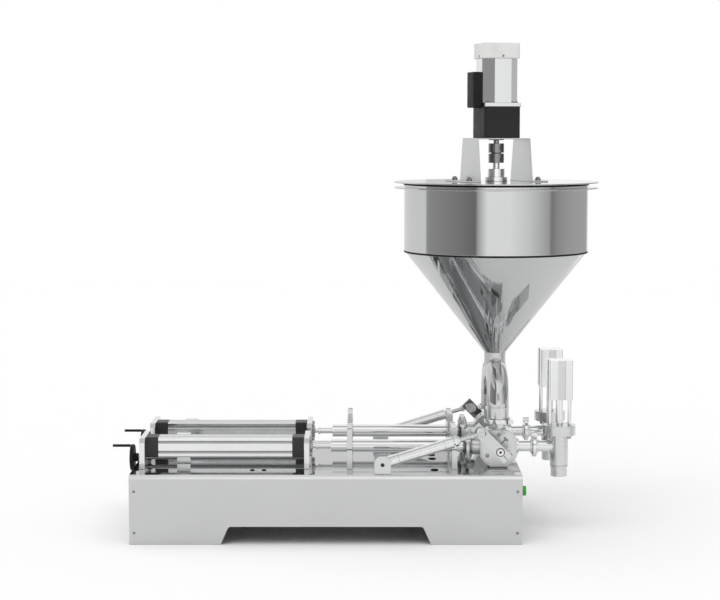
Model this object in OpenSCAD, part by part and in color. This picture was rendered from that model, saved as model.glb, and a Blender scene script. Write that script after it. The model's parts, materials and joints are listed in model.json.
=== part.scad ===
// Two head bench piston filler with a stirred hopper on a polished steel base.
// All sizes are in millimetres, the floor is at z = 0 and the front faces -y.

/* [Base] */
// Length of the base, left to right
base_length = 900; // [896:1:910]
// Depth of the base, front to back
base_depth = 481; // [476:1:500]
// Height of the deck above the floor
base_height = 161; // [150:1:175]
// Thickness of the folded sheet
base_sheet = 2; // [1.5:0.5:2.5]
// Outside radius of the folded edges
bend_radius = 9; // [7:0.5:12]
// Height of the cutout between the feet
foot_cut_height = 41.4; // [30:0.2:50]
// Length of each foot on the floor
foot_length = 209; // [190:1:225]
// Diameter of the push button bezel
button_size = 28; // [27:0.5:32]

/* [Heads] */
// Distance between the two filling heads
head_spacing = 219; // [214:1:222]
// Height of the piston axes above the deck
axis_height = 46; // [45:0.5:50]
// Thickness of the upright plates
plate_thickness = 12.5; // [11:0.5:13]
// Outside diameter of the product tubes
tube_size = 30; // [29:0.5:32]
// Wall of the product tubes
tube_wall = 1.5; // [1:0.1:2]
// Width and height of the drive cylinders
drive_size = 47; // [45:0.5:49]
// Length of the drive cylinder barrels
barrel_length = 313; // [300:1:316]
// Length of the drive cylinder end caps
cap_length = 28.5; // [26:0.5:29]
// Diameter of the drive piston rods
rod_size = 11; // [10:0.5:12]
// Radius of the handwheels
wheel_radius = 31; // [28:0.5:34]
// Diameter of the crank grips
grip_size = 6.4; // [6:0.2:9]
// Length of the crank grips
grip_length = 41.7; // [35:0.1:50]

/* [Valves] */
// Width of the valve bodies
valve_width = 86; // [84:1:88]
// Diameter of the valve rotors
rotor_size = 56; // [54:0.5:58]
// Diameter of the product passages in the rotors
passage_size = 14; // [10:0.5:14]
// Distance from the valve shaft to the lever pin
lever_arm = 64.5; // [62:0.5:66]
// Width of the levers
lever_width = 27; // [25:0.5:30]
// Diameter of the actuator bodies
actuator_size = 26.5; // [24:0.5:27]

/* [Nozzles] */
// Distance from the valve centre to the nozzle centre
nozzle_reach = 144.2; // [138:0.2:160]
// Outside diameter of the outlet pipes
outlet_size = 26; // [24:0.5:27]
// Outside diameter of the nozzle tips
tip_size = 38; // [34:0.5:40]
// Diameter of the nozzle flanges
nozzle_flange = 76; // [74:0.5:84]
// Width of the nozzle cylinders
nozzle_cylinder = 54; // [52:0.5:60]

/* [Hopper] */
// Outside diameter of the hopper
hopper_size = 436; // [420:1:440]
// Height of the straight hopper wall
hopper_wall = 159; // [140:1:180]
// Height of the hopper cone
cone_height = 240; // [230:1:250]
// Reach of the lid past the hopper wall
rim_width = 25; // [22:1:32]
// Outside diameter of the manifold pipes
manifold_size = 50.8; // [48:0.2:51]
// Width of the gearbox and motor
motor_size = 90; // [86:1:92]
// Turn of the motor group about the hopper axis
motor_turn = 16; // [0:1:30]

/* [Hidden] */
$fn = 64;
// Radial clearance of turning and sliding fits
fit = 0.05;
// Gap between faces of parts that move against each other
gap = 0.3;
hs = head_spacing / 2;
deck = base_height;
az = deck + axis_height;
half_base = base_length / 2;
half_depth = base_depth / 2;

// Stations along x, measured from the middle of the base
hand_x0 = -half_base + 15.8;
cyl_x0 = hand_x0 + plate_thickness;
barrel_x0 = cyl_x0 + cap_length;
barrel_x1 = barrel_x0 + barrel_length;
plate_x0 = barrel_x1 + cap_length;
plate_x1 = plate_x0 + plate_thickness;
joint_x = plate_x1 + 19.2;
tube_x0 = plate_x1 + 49.5;
wheel_x1 = -half_base - 6.5;
wheel_x0 = wheel_x1 - 8.7;
grip_x1 = wheel_x0 - 0.8;
grip_x0 = grip_x1 - grip_length;
hop_x = half_base - 48.5;
nut_x0 = hop_x - 82.5;
nut_x1 = nut_x0 + 21.5;
mid_clamp_x = tube_x0 + 37.6;
end_clamp_x = nut_x0 - 27.3;
noz_x = hop_x + nozzle_reach;
lid_size = hopper_size + 2 * rim_width;
x_shift = -(grip_x0 + max(noz_x + nozzle_flange / 2, hop_x + lid_size / 2)) / 2;

screw_dy = 39;
screw_h = 11.5;
screw_size = 10;
guide_size = 8;
guide_h = 56;
clamp_reach = 85.5;
carriage_x0 = cyl_x0 + 66.7;
carriage_l = 32;
tube_bore = tube_size - 2 * tube_wall;
drive_bore = 40;
clamp_gap = 2;
clamp_half = 56.3;
clamp_top = 48;
clamp_seat = 36;
groove_off = 11.8;
groove_r = 5.2;
groove_depth = 1.5;

// Valve stations in the front head, -y is the outer side
vh = valve_width / 2;
body_y0 = -hs - 28;
body_y1 = -hs + 28;
cover_y0 = body_y0 - 6;
lever_y0 = -hs - 91;
lever_y1 = lever_y0 + 12;
act_y = -hs - 101;
shaft_size = 16;
cover_bolts = 32;
pivot_x = hop_x - 271.6;
pivot_z = deck + 21.4;

// Heights of the nozzles
tip_z0 = az - 71;
tip_z1 = az - 49.4;
flange_z0 = az + 27;
flange_z1 = az + 50.4;
lift_z0 = az + 111.5;
lift_h = 92.3;
pipe_od = 41.6;
stem_size = 17;
seat_size = 22;

// Stations along the actuator, measured from its pivot
act_x0 = 16;
act_x1 = 40;
act_x2 = 150;
act_x3 = 170;
act_bore = 20;
act_rod = 10;

pin_x = hop_x - lever_arm * cos(45);
pin_z = az + lever_arm * sin(45);
act_angle = atan2(pin_z - pivot_z, pin_x - pivot_x);
act_len = sqrt(pow(pin_x - pivot_x, 2) + pow(pin_z - pivot_z, 2));

// Heights
ring_h = 105;
run_h = 215;
ring_z = deck + ring_h;
run_z = deck + run_h;
elbow_r = 1.5 * manifold_size;
neck_h = 40;
cone_z0 = run_z + neck_h;
seam = 4;
sheet = 2;
flange_t = 3;
flange_drop = 11;
cone_z1 = cone_z0 + cone_height;
wall_z0 = cone_z1 + seam;
wall_z1 = wall_z0 + hopper_wall;
lid_z0 = wall_z1 + sheet;
lid_z1 = lid_z0 + flange_t;
bracket_h = 102.7;
gear_h = 82.7;
motor_h = 103.2;
cap_h = 37.4;
gear_z0 = lid_z1 + bracket_h;
motor_z0 = gear_z0 + gear_h;
motor_z1 = motor_z0 + motor_h;
cap_z1 = motor_z1 + cap_h;
bracket_w = 66;
bracket_d = 53;
foot_reach = 104;
foot_d = 72;
arm_reach = hopper_size / 2 - 68;
low_reach = arm_reach - 55;
bolt_x = 86;
bolt_y = 52;

module place() translate([x_shift, 0, 0]) children();

module at_hopper() translate([hop_x, 0, 0]) children();

module at_motor() at_hopper() rotate([0, 0, motor_turn]) children();

// The drive side repeats at both heads, the valve side is mirrored
module front_head() translate([0, -hs, 0]) children();

module rear_head() translate([0, hs, 0]) children();

module both_heads() {
  front_head() children();
  rear_head() children();
}

module flip() mirror([0, 1, 0]) children();

module both_sides() {
  children();
  flip() children();
}

module rod_x(x0, x1, y, z, d) translate([x0, y, z]) rotate([0, 90, 0]) cylinder(h = x1 - x0, d = d);

module rod_y(x, y0, y1, z, d) translate([x, y0, z]) rotate([-90, 0, 0]) cylinder(h = y1 - y0, d = d);

module rod_z(x, y, z0, z1, d) translate([x, y, z0]) cylinder(h = z1 - z0, d = d);

module box(x0, x1, y0, y1, z0, z1) translate([x0, y0, z0]) cube([x1 - x0, y1 - y0, z1 - z0]);

// A flat shape in y and z, drawn out along x
module along_x(x0, x1) translate([x0, 0, 0]) rotate([90, 0, 90]) linear_extrude(x1 - x0) children();

// A flat shape in x and z, drawn out along y
module along_y(y0, y1) translate([0, y1, 0]) rotate([90, 0, 0]) linear_extrude(y1 - y0) children();

module round_box(w, d, r) {
  square([w, d - 2 * r], center = true);
  square([w - 2 * r, d], center = true);
  for (i = [-1, 1], j = [-1, 1]) translate([i * (w / 2 - r), j * (d / 2 - r)]) circle(r);
}

// Section through the base, inset by t, legs down to the floor
module base_section(t) {
  r = bend_radius - t;
  w = half_depth - t;
  h = deck - t;
  translate([-w, 0]) square([2 * w, h - r]);
  translate([-w + r, 0]) square([2 * (w - r), h]);
  for (i = [-1, 1]) translate([i * (w - r), h - r]) circle(r);
}

// Cutout between the feet with rounded upper corners
module foot_cut() {
  a = 18.6;
  b = foot_cut_height;
  l = sqrt(a * a + b * b);
  r = 8;
  k = r * (l - a) / b;
  x0 = foot_length - half_base;
  x1 = x0 + a;
  for (s = [0, 1]) mirror([s, 0]) {
    translate([x1 + k, b - r]) circle(r);
    polygon([[x0, 0], [x1 - k * a / l, b - k * b / l], [x1 + k, b], [1, b], [1, -1], [x0, -1]]);
  }
}

module rivets(d, out, in) {
  for (s = [-1, 1], z = [27, deck - 38], m = [0, 1]) mirror([0, m, 0])
    rod_y(s * (half_base - 11.3), -half_depth - out, -half_depth + in, z, d);
}

module deck_holes() {
  hose_x = hop_x - 150.5;
  wire_x = barrel_x0 + 222.2;
  for (p = [[hose_x, 172.5, 16], [hose_x, 26.5, 16], [wire_x, 175.5, 9], [wire_x + 27, 175.5, 9]])
    both_sides() rod_z(p[0], -p[1], deck - 5, deck + 1, p[2]);
}

module base_cover() color("#c9cacc") place() difference() {
  along_x(-half_base, half_base) difference() {
    base_section(0);
    base_section(base_sheet);
  }
  along_y(-half_depth - 1, half_depth + 1) foot_cut();
  rivets(4, 1, 5);
  deck_holes();
}

module side_panels() color("#bfc0c2") place() difference() {
  for (s = [0, 1]) mirror([s, 0, 0]) {
    along_x(half_base - base_sheet, half_base) base_section(base_sheet);
    along_x(half_base - 22, half_base - base_sheet) difference() {
      base_section(base_sheet);
      base_section(2 * base_sheet);
    }
  }
  rivets(4, 1, 5);
  rod_x(half_base - 30, half_base + 1, -175.5, 113, button_size - 8);
}

module base_rivets() color("#8d8f92") place() {
  rivets(4, 0, base_sheet * 2 + 0.6);
  difference() {
    rivets(6.4, 1.1, 0);
    along_x(-half_base - 1, half_base + 1) base_section(0);
  }
}

module button_bezel() color("#17181a") place() difference() {
  union() {
    rod_x(half_base, half_base + 5.5, -175.5, 113, button_size);
    rod_x(half_base - 18, half_base, -175.5, 113, button_size - 8);
  }
  rod_x(half_base - 0.5, half_base + 6, -175.5, 113, button_size - 5);
  rod_x(half_base - 19, half_base, -175.5, 113, 12);
}

module button_cap() color("#22a010") place() {
  rod_x(half_base + 3.5, half_base + 13, -175.5, 113, button_size - 5 - 4 * fit);
  rod_x(half_base - 20, half_base + 4, -175.5, 113, 12 - 2 * fit);
  rod_x(half_base - 22.3, half_base - 18 - gap, -175.5, 113, 17);
}

// Upright plate of the drive side, about the head axis
module drive_upright(x0) along_x(x0, x0 + plate_thickness) polygon([[-55, deck], [75, deck],
  [75, deck + 61], [65, deck + 71], [-45, deck + 71], [-55, deck + 61]]);

module plate_screws(x, d, h) for (y = [-17, 17], z = [-17, 17]) rod_x(x, x + h, y, az + z, d);

module screw_line(x0, x1, d) rod_x(x0, x1, screw_dy, deck + screw_h, d);

module guide_line(x0, x1, d) rod_x(x0, x1, screw_dy, deck + guide_h, d);

module handwheel_plates() color("#d2d3d5") place() both_heads() difference() {
  drive_upright(hand_x0);
  screw_line(hand_x0 - 1, cyl_x0 + 1, screw_size + 2 * fit);
  guide_line(hand_x0 - 1, cyl_x0 + 1, guide_size);
  plate_screws(hand_x0 - 1, 6, plate_thickness + 2);
}

module drive_plates() color("#d2d3d5") place() both_heads() difference() {
  drive_upright(plate_x0);
  screw_line(plate_x0 - 1, plate_x0 + 8, screw_size + 2 * fit);
  guide_line(plate_x0 - 1, plate_x1 + 1, guide_size);
  plate_screws(plate_x0 - 1, 6, plate_thickness + 2);
  rod_x(plate_x0 - 1, plate_x1 + 1, 0, az, rod_size + 1.5);
}

module carriage_guides() color("#c4c5c7") place() both_heads() guide_line(hand_x0, plate_x1, guide_size);

// Section of the drive barrels, two hollow grooves along each side
module barrel_section() difference() {
  round_box(drive_size, drive_size, 3);
  for (a = [0 : 90 : 270], s = [-1, 1]) rotate(a)
    translate([drive_size / 2 + groove_r - groove_depth, s * groove_off]) circle(groove_r);
  circle(d = drive_bore);
}

module drive_barrels() color("#cdced0") place() both_heads() along_x(barrel_x0, barrel_x1)
  translate([0, az]) barrel_section();

module drive_end_caps() color("#262729") place() both_heads() {
  difference() {
    along_x(cyl_x0, barrel_x0) translate([0, az]) round_box(drive_size + 1, drive_size + 1, 3);
    plate_screws(cyl_x0 - 1, 6, 13);
  }
  difference() {
    along_x(barrel_x1, plate_x0) translate([0, az]) round_box(drive_size + 1, drive_size + 1, 3);
    plate_screws(plate_x0 - 12, 6, 13);
    rod_x(barrel_x1 - 1, plate_x0 + 1, 0, az, rod_size + 2 * fit);
  }
}

module drive_rod() {
  rod_x(barrel_x0 + 14, joint_x, 0, az, rod_size);
  rod_x(barrel_x0 + 1, barrel_x0 + 15, 0, az, drive_bore - 2 * fit);
  rod_x(joint_x - 4.5, joint_x, 0, az, rod_size + 6);
  rod_x(joint_x, tube_x0 + 4, 0, az, rod_size + 3);
}

module drive_rod_front() color("#b9babc") place() front_head() drive_rod();

module drive_rod_rear() color("#b9babc") place() rear_head() drive_rod();

module product_piston() difference() {
  rod_x(tube_x0 + 4, tube_x0 + 28, 0, az, tube_bore - 2 * fit);
  for (x = [tube_x0 + 9, tube_x0 + 19]) difference() {
    rod_x(x, x + 3, 0, az, tube_bore + 1);
    rod_x(x - 1, x + 4, 0, az, tube_bore - 3);
  }
}

module product_piston_front() color("#ececea") place() front_head() product_piston();

module product_piston_rear() color("#ececea") place() rear_head() product_piston();

module handwheel() {
  translate([wheel_x0, screw_dy, deck + screw_h]) rotate([0, 90, 0]) difference() {
    rotate_extrude($fn = 96) polygon([[0, 3], [12, 3], [12, 4.5], [24, 2.5], [24, 0],
      [wheel_radius - 1.2, 0], [wheel_radius, 1.2], [wheel_radius, 7.5],
      [wheel_radius - 1.2, 8.7], [10, 8.7], [10, 18.2], [0, 18.2]]);
    translate([0, 0, 1]) cylinder(h = 30, d = screw_size);
  }
  rod_x(grip_x0 + 5, wheel_x0 + 1, screw_dy, deck + screw_h + wheel_radius - 3, 3);
}

module handwheel_front() color("#1d1e20") place() front_head() handwheel();

module handwheel_rear() color("#1d1e20") place() rear_head() handwheel();

module lead_screw() {
  screw_line(wheel_x0 + 3, plate_x0 + 7.5, screw_size);
  difference() {
    screw_line(cyl_x0 + gap, cyl_x0 + 6, screw_size + 6);
    screw_line(cyl_x0, cyl_x0 + 7, screw_size);
  }
}

module lead_screw_front() color("#a9abae") place() front_head() lead_screw();

module lead_screw_rear() color("#a9abae") place() rear_head() lead_screw();

module crank_grip() difference() {
  rod_x(grip_x0, grip_x1, screw_dy, deck + screw_h + wheel_radius - 3, grip_size);
  rod_x(grip_x0 + 4, grip_x1 + 1, screw_dy, deck + screw_h + wheel_radius - 3, 3 + 2 * fit);
}

module crank_grip_front() color("#161719") place() front_head() crank_grip();

module crank_grip_rear() color("#161719") place() rear_head() crank_grip();

module switch_carriage() difference() {
  box(carriage_x0, carriage_x0 + carriage_l, screw_dy - 10, screw_dy + 10, deck + 3, deck + 69);
  screw_line(carriage_x0 - 1, carriage_x0 + carriage_l + 1, screw_size + 2 * fit);
  guide_line(carriage_x0 - 1, carriage_x0 + carriage_l + 1, guide_size + 2 * fit);
}

module switch_carriage_front() color("#c2c3c6") place() front_head() switch_carriage();

module switch_carriage_rear() color("#c2c3c6") place() rear_head() switch_carriage();

module product_tubes() color("#d8d9db") place() both_heads() difference() {
  rod_x(tube_x0, nut_x0 + 7, 0, az, tube_size);
  rod_x(tube_x0 - 1, nut_x0 + 8, 0, az, tube_bore);
}

module clamp_holes(z0, z1, d) for (x = [mid_clamp_x, end_clamp_x], y = [-45, 45])
  rod_z(x + plate_thickness / 2, y, z0, z1, d);

module tube_clamp_bases() color("#d2d3d5") place() both_heads() difference() {
  for (x = [mid_clamp_x, end_clamp_x])
    box(x, x + plate_thickness, -clamp_half, clamp_half, deck, az - clamp_gap / 2);
  rod_x(mid_clamp_x - 1, end_clamp_x + 20, 0, az, tube_size);
  clamp_holes(az - 20, az + 1, 6);
}

module tube_clamp_caps() color("#d2d3d5") place() both_heads() difference() {
  for (x = [mid_clamp_x, end_clamp_x])
    box(x, x + plate_thickness, -clamp_half, clamp_half, az + clamp_gap / 2, az + clamp_top);
  rod_x(mid_clamp_x - 1, end_clamp_x + 20, 0, az, tube_size);
  clamp_holes(az, az + clamp_top + 1, 6);
  clamp_holes(az + clamp_seat, az + clamp_top + 1, 10.5);
}

module union_nuts() color("#c8c9cb") place() both_heads() translate([nut_x0, 0, az]) rotate([0, 90, 0])
difference() {
  rotate_extrude($fn = 96) polygon([[0, 0], [26, 0], [41, 7], [41, 14],
    [26, nut_x1 - nut_x0], [0, nut_x1 - nut_x0]]);
  translate([0, 0, -1]) cylinder(h = 9, d = tube_size);
  translate([0, 0, 7]) cylinder(h = 20, d = 42);
  for (a = [0 : 60 : 300]) rotate(a) translate([35, -4, -1]) cube([8, 8, 30]);
}

// Outline of the valve, a round bar trimmed to a square
module valve_outline(d, w, h) intersection() {
  circle(d = d, $fn = 128);
  square([w, h], center = true);
}

// Three screws hold the cover, clear of the lever
module cover_holes(y0, y1, d) for (a = [90, 214, -31])
  rod_y(hop_x + cover_bolts * cos(a), y0, y1, az + cover_bolts * sin(a), d);

module valve_body() difference() {
  union() {
    translate([hop_x, 0, az]) along_y(body_y0, body_y1) valve_outline(valve_width + 9, valve_width, 85);
    rod_x(nut_x0 + 7, hop_x - 30, -hs, az, 42);
    rod_z(hop_x, -hs, az + 30, ring_z, 38);
    rod_z(hop_x, -hs, ring_z - 3, ring_z, 58);
    box(hop_x - 20, hop_x + 20, -hs - 16, -hs + 16, deck, az - 30);
  }
  rod_y(hop_x, body_y0 - 1, body_y1 - 6, az, rotor_size);
  rod_x(hop_x - 80, hop_x + 80, -hs, az, passage_size);
  rod_x(hop_x - 90, hop_x - vh + 4, -hs, az, tube_bore);
  rod_z(hop_x, -hs, az, ring_z + 1, passage_size);
  rod_z(hop_x, -hs, az + 34, ring_z + 1, 33);
  cover_holes(body_y0 - 1, body_y0 + 14, 5);
}

module valve_bodies() color("#d0d1d3") place() both_sides() valve_body();

module valve_cover() difference() {
  translate([hop_x, 0, az]) {
    along_y(cover_y0 + 1.2, body_y0) valve_outline(valve_width + 6, valve_width - 4, 81);
    along_y(cover_y0, cover_y0 + 2) valve_outline(valve_width, valve_width - 10, 75);
  }
  rod_y(hop_x, cover_y0 - 1, body_y0 + 1, az, shaft_size + 2 * fit);
  cover_holes(cover_y0 - 1, body_y0 + 1, 5);
  cover_holes(cover_y0 - 1, cover_y0 + 3, 9);
}

module valve_covers() color("#d0d1d3") place() both_sides() valve_cover();

// Four passages meet in the rotor, a sixth of a turn swaps hopper for nozzle
module valve_rotor() difference() {
  union() {
    rod_y(hop_x, body_y0 + gap, body_y1 - 6 - gap, az, rotor_size - 2 * fit);
    rod_y(hop_x, lever_y0 - 1.5, body_y0 + 1, az, shaft_size);
  }
  for (a = [60, 90, 180, 240]) translate([hop_x, -hs, az]) rotate([0, -a, 0]) rotate([0, 90, 0])
    cylinder(h = 50, d = passage_size);
  rod_y(hop_x, lever_y0 - 2, lever_y0 + 2, az, 6);
}

module valve_rotor_front() color("#b4b6b9") place() valve_rotor();

module valve_rotor_rear() color("#b4b6b9") place() flip() valve_rotor();

module valve_lever() translate([hop_x, 0, az]) {
  difference() {
    along_y(lever_y0, lever_y1) rotate(135) difference() {
      translate([-24.7, -lever_width / 2]) square([lever_arm + 18.3 + 24.7, lever_width]);
      circle(d = shaft_size);
      translate([-26, -0.8]) square([20, 1.6]);
      translate([lever_arm - 4, 0]) square([8, 20], center = true);
      for (s = [-1, 1]) translate([lever_arm + s * 4, 0]) circle(d = 20);
    }
    rod_y(0, lever_y0 - 1, lever_y0 + 1.2, 0, shaft_size + 4);
    at_clamp_screw() translate([0, 0, -1]) cylinder(h = lever_width + 2, d = 5);
  }
  at_clamp_screw() {
    translate([0, 0, -5]) cylinder(h = 5, d = 8.5);
    cylinder(h = lever_width, d = 5);
  }
}

// Across the lever's split end, from the lower edge
module at_clamp_screw() translate([0, (lever_y0 + lever_y1) / 2, 0]) rotate([0, -135, 0])
  translate([-15, 0, -lever_width / 2]) children();

module valve_lever_front() color("#d4d5d7") place() valve_lever();

module valve_lever_rear() color("#d4d5d7") place() flip() valve_lever();

module actuator_bracket() {
  difference() {
    union() {
      for (s = [0, 1]) along_y(act_y - 18 + s * 32, act_y - 14 + s * 32)
        polygon([[pivot_x - 19, deck], [pivot_x + 19, deck], [pivot_x + 19, deck + 31],
          [pivot_x + 10, deck + 41], [pivot_x - 10, deck + 41], [pivot_x - 19, deck + 31]]);
      box(pivot_x - 19, pivot_x + 19, act_y - 18, act_y + 18, deck, deck + 4);
    }
    rod_y(pivot_x, act_y - 20, act_y + 20, pivot_z, 8);
  }
  rod_y(pivot_x, act_y - 18, act_y + 18, pivot_z, 8);
}

module actuator_brackets() color("#cfd0d2") place() both_sides() actuator_bracket();

// A hexagon nut on the x axis, w is its width over the flats
module hex_x(x0, x1, w) translate([x0, 0, 0]) rotate([0, 90, 0])
  cylinder(h = x1 - x0, d = w / cos(30), $fn = 6);

// Work along the actuator, with its pivot at the start
module along_actuator() translate([pivot_x, act_y, pivot_z]) rotate([0, -act_angle, 0]) children();

module actuator_body() along_actuator() difference() {
  union() {
    rod_y(0, -13, 13, 0, 19);
    box(0, 20, -13 + 4, 13 - 4, -8, 8);
    rod_x(act_x0, act_x1, 0, 0, actuator_size);
    rod_x(act_x1, act_x2, 0, 0, actuator_size - 0.8);
    rod_x(act_x2, act_x3, 0, 0, actuator_size);
    rod_x(act_x3, act_x3 + 16, 0, 0, 16);
    hex_x(act_x3 + 4, act_x3 + 11, 22);
  }
  for (x = [act_x1, act_x2 - 0.8]) difference() {
    rod_x(x, x + 0.8, 0, 0, actuator_size + 1);
    rod_x(x - 1, x + 2, 0, 0, actuator_size - 2.2);
  }
  rod_y(0, -14, 14, 0, 8 + 2 * fit);
  rod_x(act_x1 - 6, act_x2 + 10, 0, 0, act_bore);
  rod_x(act_x2 + 9, act_x3 + 17, 0, 0, act_rod + 2 * fit);
}

module actuator_body_front() color("#c7c8ca") place() actuator_body();

module actuator_body_rear() color("#c7c8ca") place() flip() actuator_body();

module actuator_rod() {
  along_actuator() {
    rod_x(act_x1, act_len - 4, 0, 0, act_rod);
    rod_x(act_x1, act_x1 + 10, 0, 0, act_bore - 2 * fit);
    hex_x(act_len - 24, act_len - 17, 14);
  }
  translate([pin_x, 0, pin_z]) {
    along_y(act_y - 6, act_y + 6) rotate(18) {
      square([17, 10], center = true);
      for (s = [-1, 1]) translate([0, 5 * s]) circle(d = 17);
    }
    rotate([0, -18, 0]) difference() {
      rod_y(0, act_y - 8.5, act_y - 5, -5, 15.5);
      rod_y(0, act_y - 9, act_y - 7, -5, 7);
    }
    rod_y(0, act_y + 6, lever_y0 - 0.5, 0, 17);
    rod_y(0, act_y + 6, lever_y1 + 3.5, 0, 12);
    rod_y(0, lever_y1 + 0.5, lever_y1 + 3.5, 0, 24);
  }
}

module actuator_rod_front() color("#bcbdc0") place() actuator_rod();

module actuator_rod_rear() color("#bcbdc0") place() flip() actuator_rod();

module outlet_pipes() color("#d6d7d9") place() both_heads() difference() {
  union() {
    rod_x(hop_x + vh, noz_x, 0, az, outlet_size);
    rod_x(hop_x + vh, hop_x + vh + 5, 0, az, outlet_size + 12);
  }
  rod_x(hop_x + vh - 1, noz_x, 0, az, outlet_size - 4);
  rod_z(noz_x, 0, deck, az + 40, pipe_od);
}

module nozzle_body() difference() {
  union() {
    rod_z(noz_x, 0, tip_z1, flange_z0, pipe_od);
    rod_z(noz_x, 0, tip_z0, tip_z1, tip_size);
    rod_z(noz_x, 0, flange_z0, flange_z1, nozzle_flange);
  }
  rod_z(noz_x, 0, az - 42, az + 40, 34);
  rod_z(noz_x, 0, tip_z0 - 1, az - 41, seat_size);
  rod_z(noz_x, 0, az + 39, flange_z1 + 1, stem_size + 2 * fit);
  difference() {
    rod_z(noz_x, 0, tip_z1 + 4, tip_z1 + 5, pipe_od + 2);
    rod_z(noz_x, 0, tip_z1 + 3, tip_z1 + 6, pipe_od - 1.2);
  }
  rod_x(noz_x - 40, noz_x, 0, az, outlet_size - 4);
  nozzle_screws(6, flange_z1 + 1);
}

// Screws round the nozzle flange, their heads hang below it
module flange_ring(z0, z1, d) for (a = [45 : 90 : 315])
  rod_z(noz_x + (nozzle_flange / 2 - 8) * cos(a), (nozzle_flange / 2 - 8) * sin(a), z0, z1, d);

module nozzle_screws(d, top) flange_ring(flange_z0 - 1, top, d);

module nozzle_bodies() color("#cfd0d2") place() both_heads() nozzle_body();

module nozzle_cylinders() color("#dcdddf") place() both_heads() translate([noz_x, 0, lift_z0]) rotate(-6)
difference() {
  linear_extrude(lift_h) difference() {
    round_box(nozzle_cylinder, nozzle_cylinder, 4);
    for (a = [0 : 90 : 270]) rotate(a) translate([nozzle_cylinder / 2, 0]) square([3, 18], center = true);
  }
  translate([0, 0, 8]) cylinder(h = lift_h - 16.3, d = drive_bore);
  translate([0, 0, -1]) cylinder(h = 20, d = stem_size + 2 * fit);
}

module nozzle_tie_rods() color("#c3c4c6") place() both_heads() for (s = [-1, 1])
  rod_z(noz_x + s * 23, -6, flange_z1, lift_z0, 9);

module nozzle_plunger() {
  rod_z(noz_x, 0, az - 36, lift_z0 + 13.5, stem_size);
  rod_z(noz_x, 0, lift_z0 + 9.5, lift_z0 + 21.5, drive_bore - 2 * fit);
  rod_z(noz_x, 0, az - 41 + gap, az - 29 + gap, seat_size + 6);
  rod_z(noz_x, 0, az - 62, az - 40, seat_size - 2);
}

module nozzle_plunger_front() color("#b4b5b8") place() front_head() nozzle_plunger();

module nozzle_plunger_rear() color("#b4b5b8") place() rear_head() nozzle_plunger();

// Half section of a pipe clamp on its two ferrules
module clamp_profile() {
  r = outlet_size / 2;
  polygon([[r - 1, -9], [r + 4.5, -9], [r + 4.5, -6.5], [r + 9.5, -5.5], [r + 12.2, -3.8], [r + 12.2, 3.8],
    [r + 9.5, 5.5], [r + 4.5, 6.5], [r + 4.5, 9], [r - 1, 9]]);
}

module pipe_clamps() color("#c6c7c9") place() both_sides() {
  difference() {
    union() {
      rod_z(hop_x, -hs, ring_z - 3.5, ring_z + 6.5, 66);
      box(hop_x + 22, hop_x + 34, -hs - 30, -hs - 14, ring_z - 3.5, ring_z + 6.5);
      rod_y(hop_x + 28, -hs - 33, -hs - 14, ring_z + 2.5, 13);
    }
    rod_z(hop_x, -hs, ring_z - 4, ring_z + 7, 58);
  }
  difference() {
    union() {
      translate([hop_x + clamp_reach, -hs, az]) rotate([0, 90, 0]) rotate_extrude($fn = 96)
        clamp_profile();
      rod_x(hop_x + clamp_reach - 7, hop_x + clamp_reach + 7, -hs - 4, az + 27, 13);
    }
    rod_x(hop_x + 70, hop_x + 100, -hs, az, outlet_size);
  }
}

module machine_screws() color("#4a4b4e") place() {
  both_heads() {
    plate_screws(hand_x0, 6, plate_thickness + 11);
    plate_screws(hand_x0 - 5, 10, 5);
    plate_screws(plate_x0 - 11, 6, plate_thickness + 11);
    plate_screws(plate_x1, 10, 5.5);
    clamp_holes(az - 20, az + clamp_seat, 6);
    clamp_holes(az + clamp_seat, az + clamp_seat + 6, 10);
    nozzle_screws(6, flange_z1 - 0.4);
    flange_ring(flange_z0 - 6.5, flange_z0, 10);
    gland();
  }
  both_sides() {
    cover_holes(cover_y0 + 3, body_y0 + 13, 5);
    difference() {
      cover_holes(cover_y0 + 0.4, cover_y0 + 3, 8.6);
      cover_holes(cover_y0 - 1, cover_y0 + 2, 4);
    }
  }
}

module gland() translate([plate_x1, 0, az]) rotate([0, 90, 0]) difference() {
  cylinder(h = 6.5, d = 21, $fn = 6);
  translate([0, 0, -1]) cylinder(h = 9, d = rod_size + 1.5);
}

module hopper_cylinder() color("#b8babd") place() at_hopper() rotate_extrude($fn = 180)
  translate([hopper_size / 2 - sheet, wall_z0]) square([sheet, hopper_wall]);

module hopper_flange() color("#c4c6c8") place() at_hopper() rotate_extrude($fn = 180)
  translate([hopper_size / 2, wall_z1 - flange_drop]) square([rim_width - 1, flange_t]);

module hopper_cone() color("#bcbec1") place() at_hopper() rotate_extrude($fn = 180) {
  r0 = manifold_size / 2;
  r1 = hopper_size / 2 - 3;
  polygon([[r0 - sheet, cone_z0], [r0, cone_z0], [r1, cone_z1], [r1 - 2.7, cone_z1]]);
}

module hopper_seals() color("#101113") place() at_hopper() rotate_extrude($fn = 180) {
  translate([hopper_size / 2 - 5.7, cone_z1]) square([6.2, seam]);
  translate([hopper_size / 2 - 4, wall_z1]) square([6, sheet - gap]);
}

// The arch of pipe that feeds both valves, inset by t
module manifold_solid(t) {
  d = manifold_size - 2 * t;
  e = t > 0 ? 1 : 0;
  translate([0, 0, run_z]) cylinder(h = cone_z0 - run_z + e, d = d);
  rod_y(0, -hs + elbow_r, hs - elbow_r, run_z, d);
  both_sides() {
    rod_z(0, -hs, ring_z - e, run_z - elbow_r, d);
    translate([0, -hs + elbow_r, run_z - elbow_r]) rotate([0, -90, 0]) rotate([0, 0, -90])
      rotate_extrude(angle = 90, $fn = 64) translate([elbow_r, 0]) circle(d = d, $fn = 40);
  }
}

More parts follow.
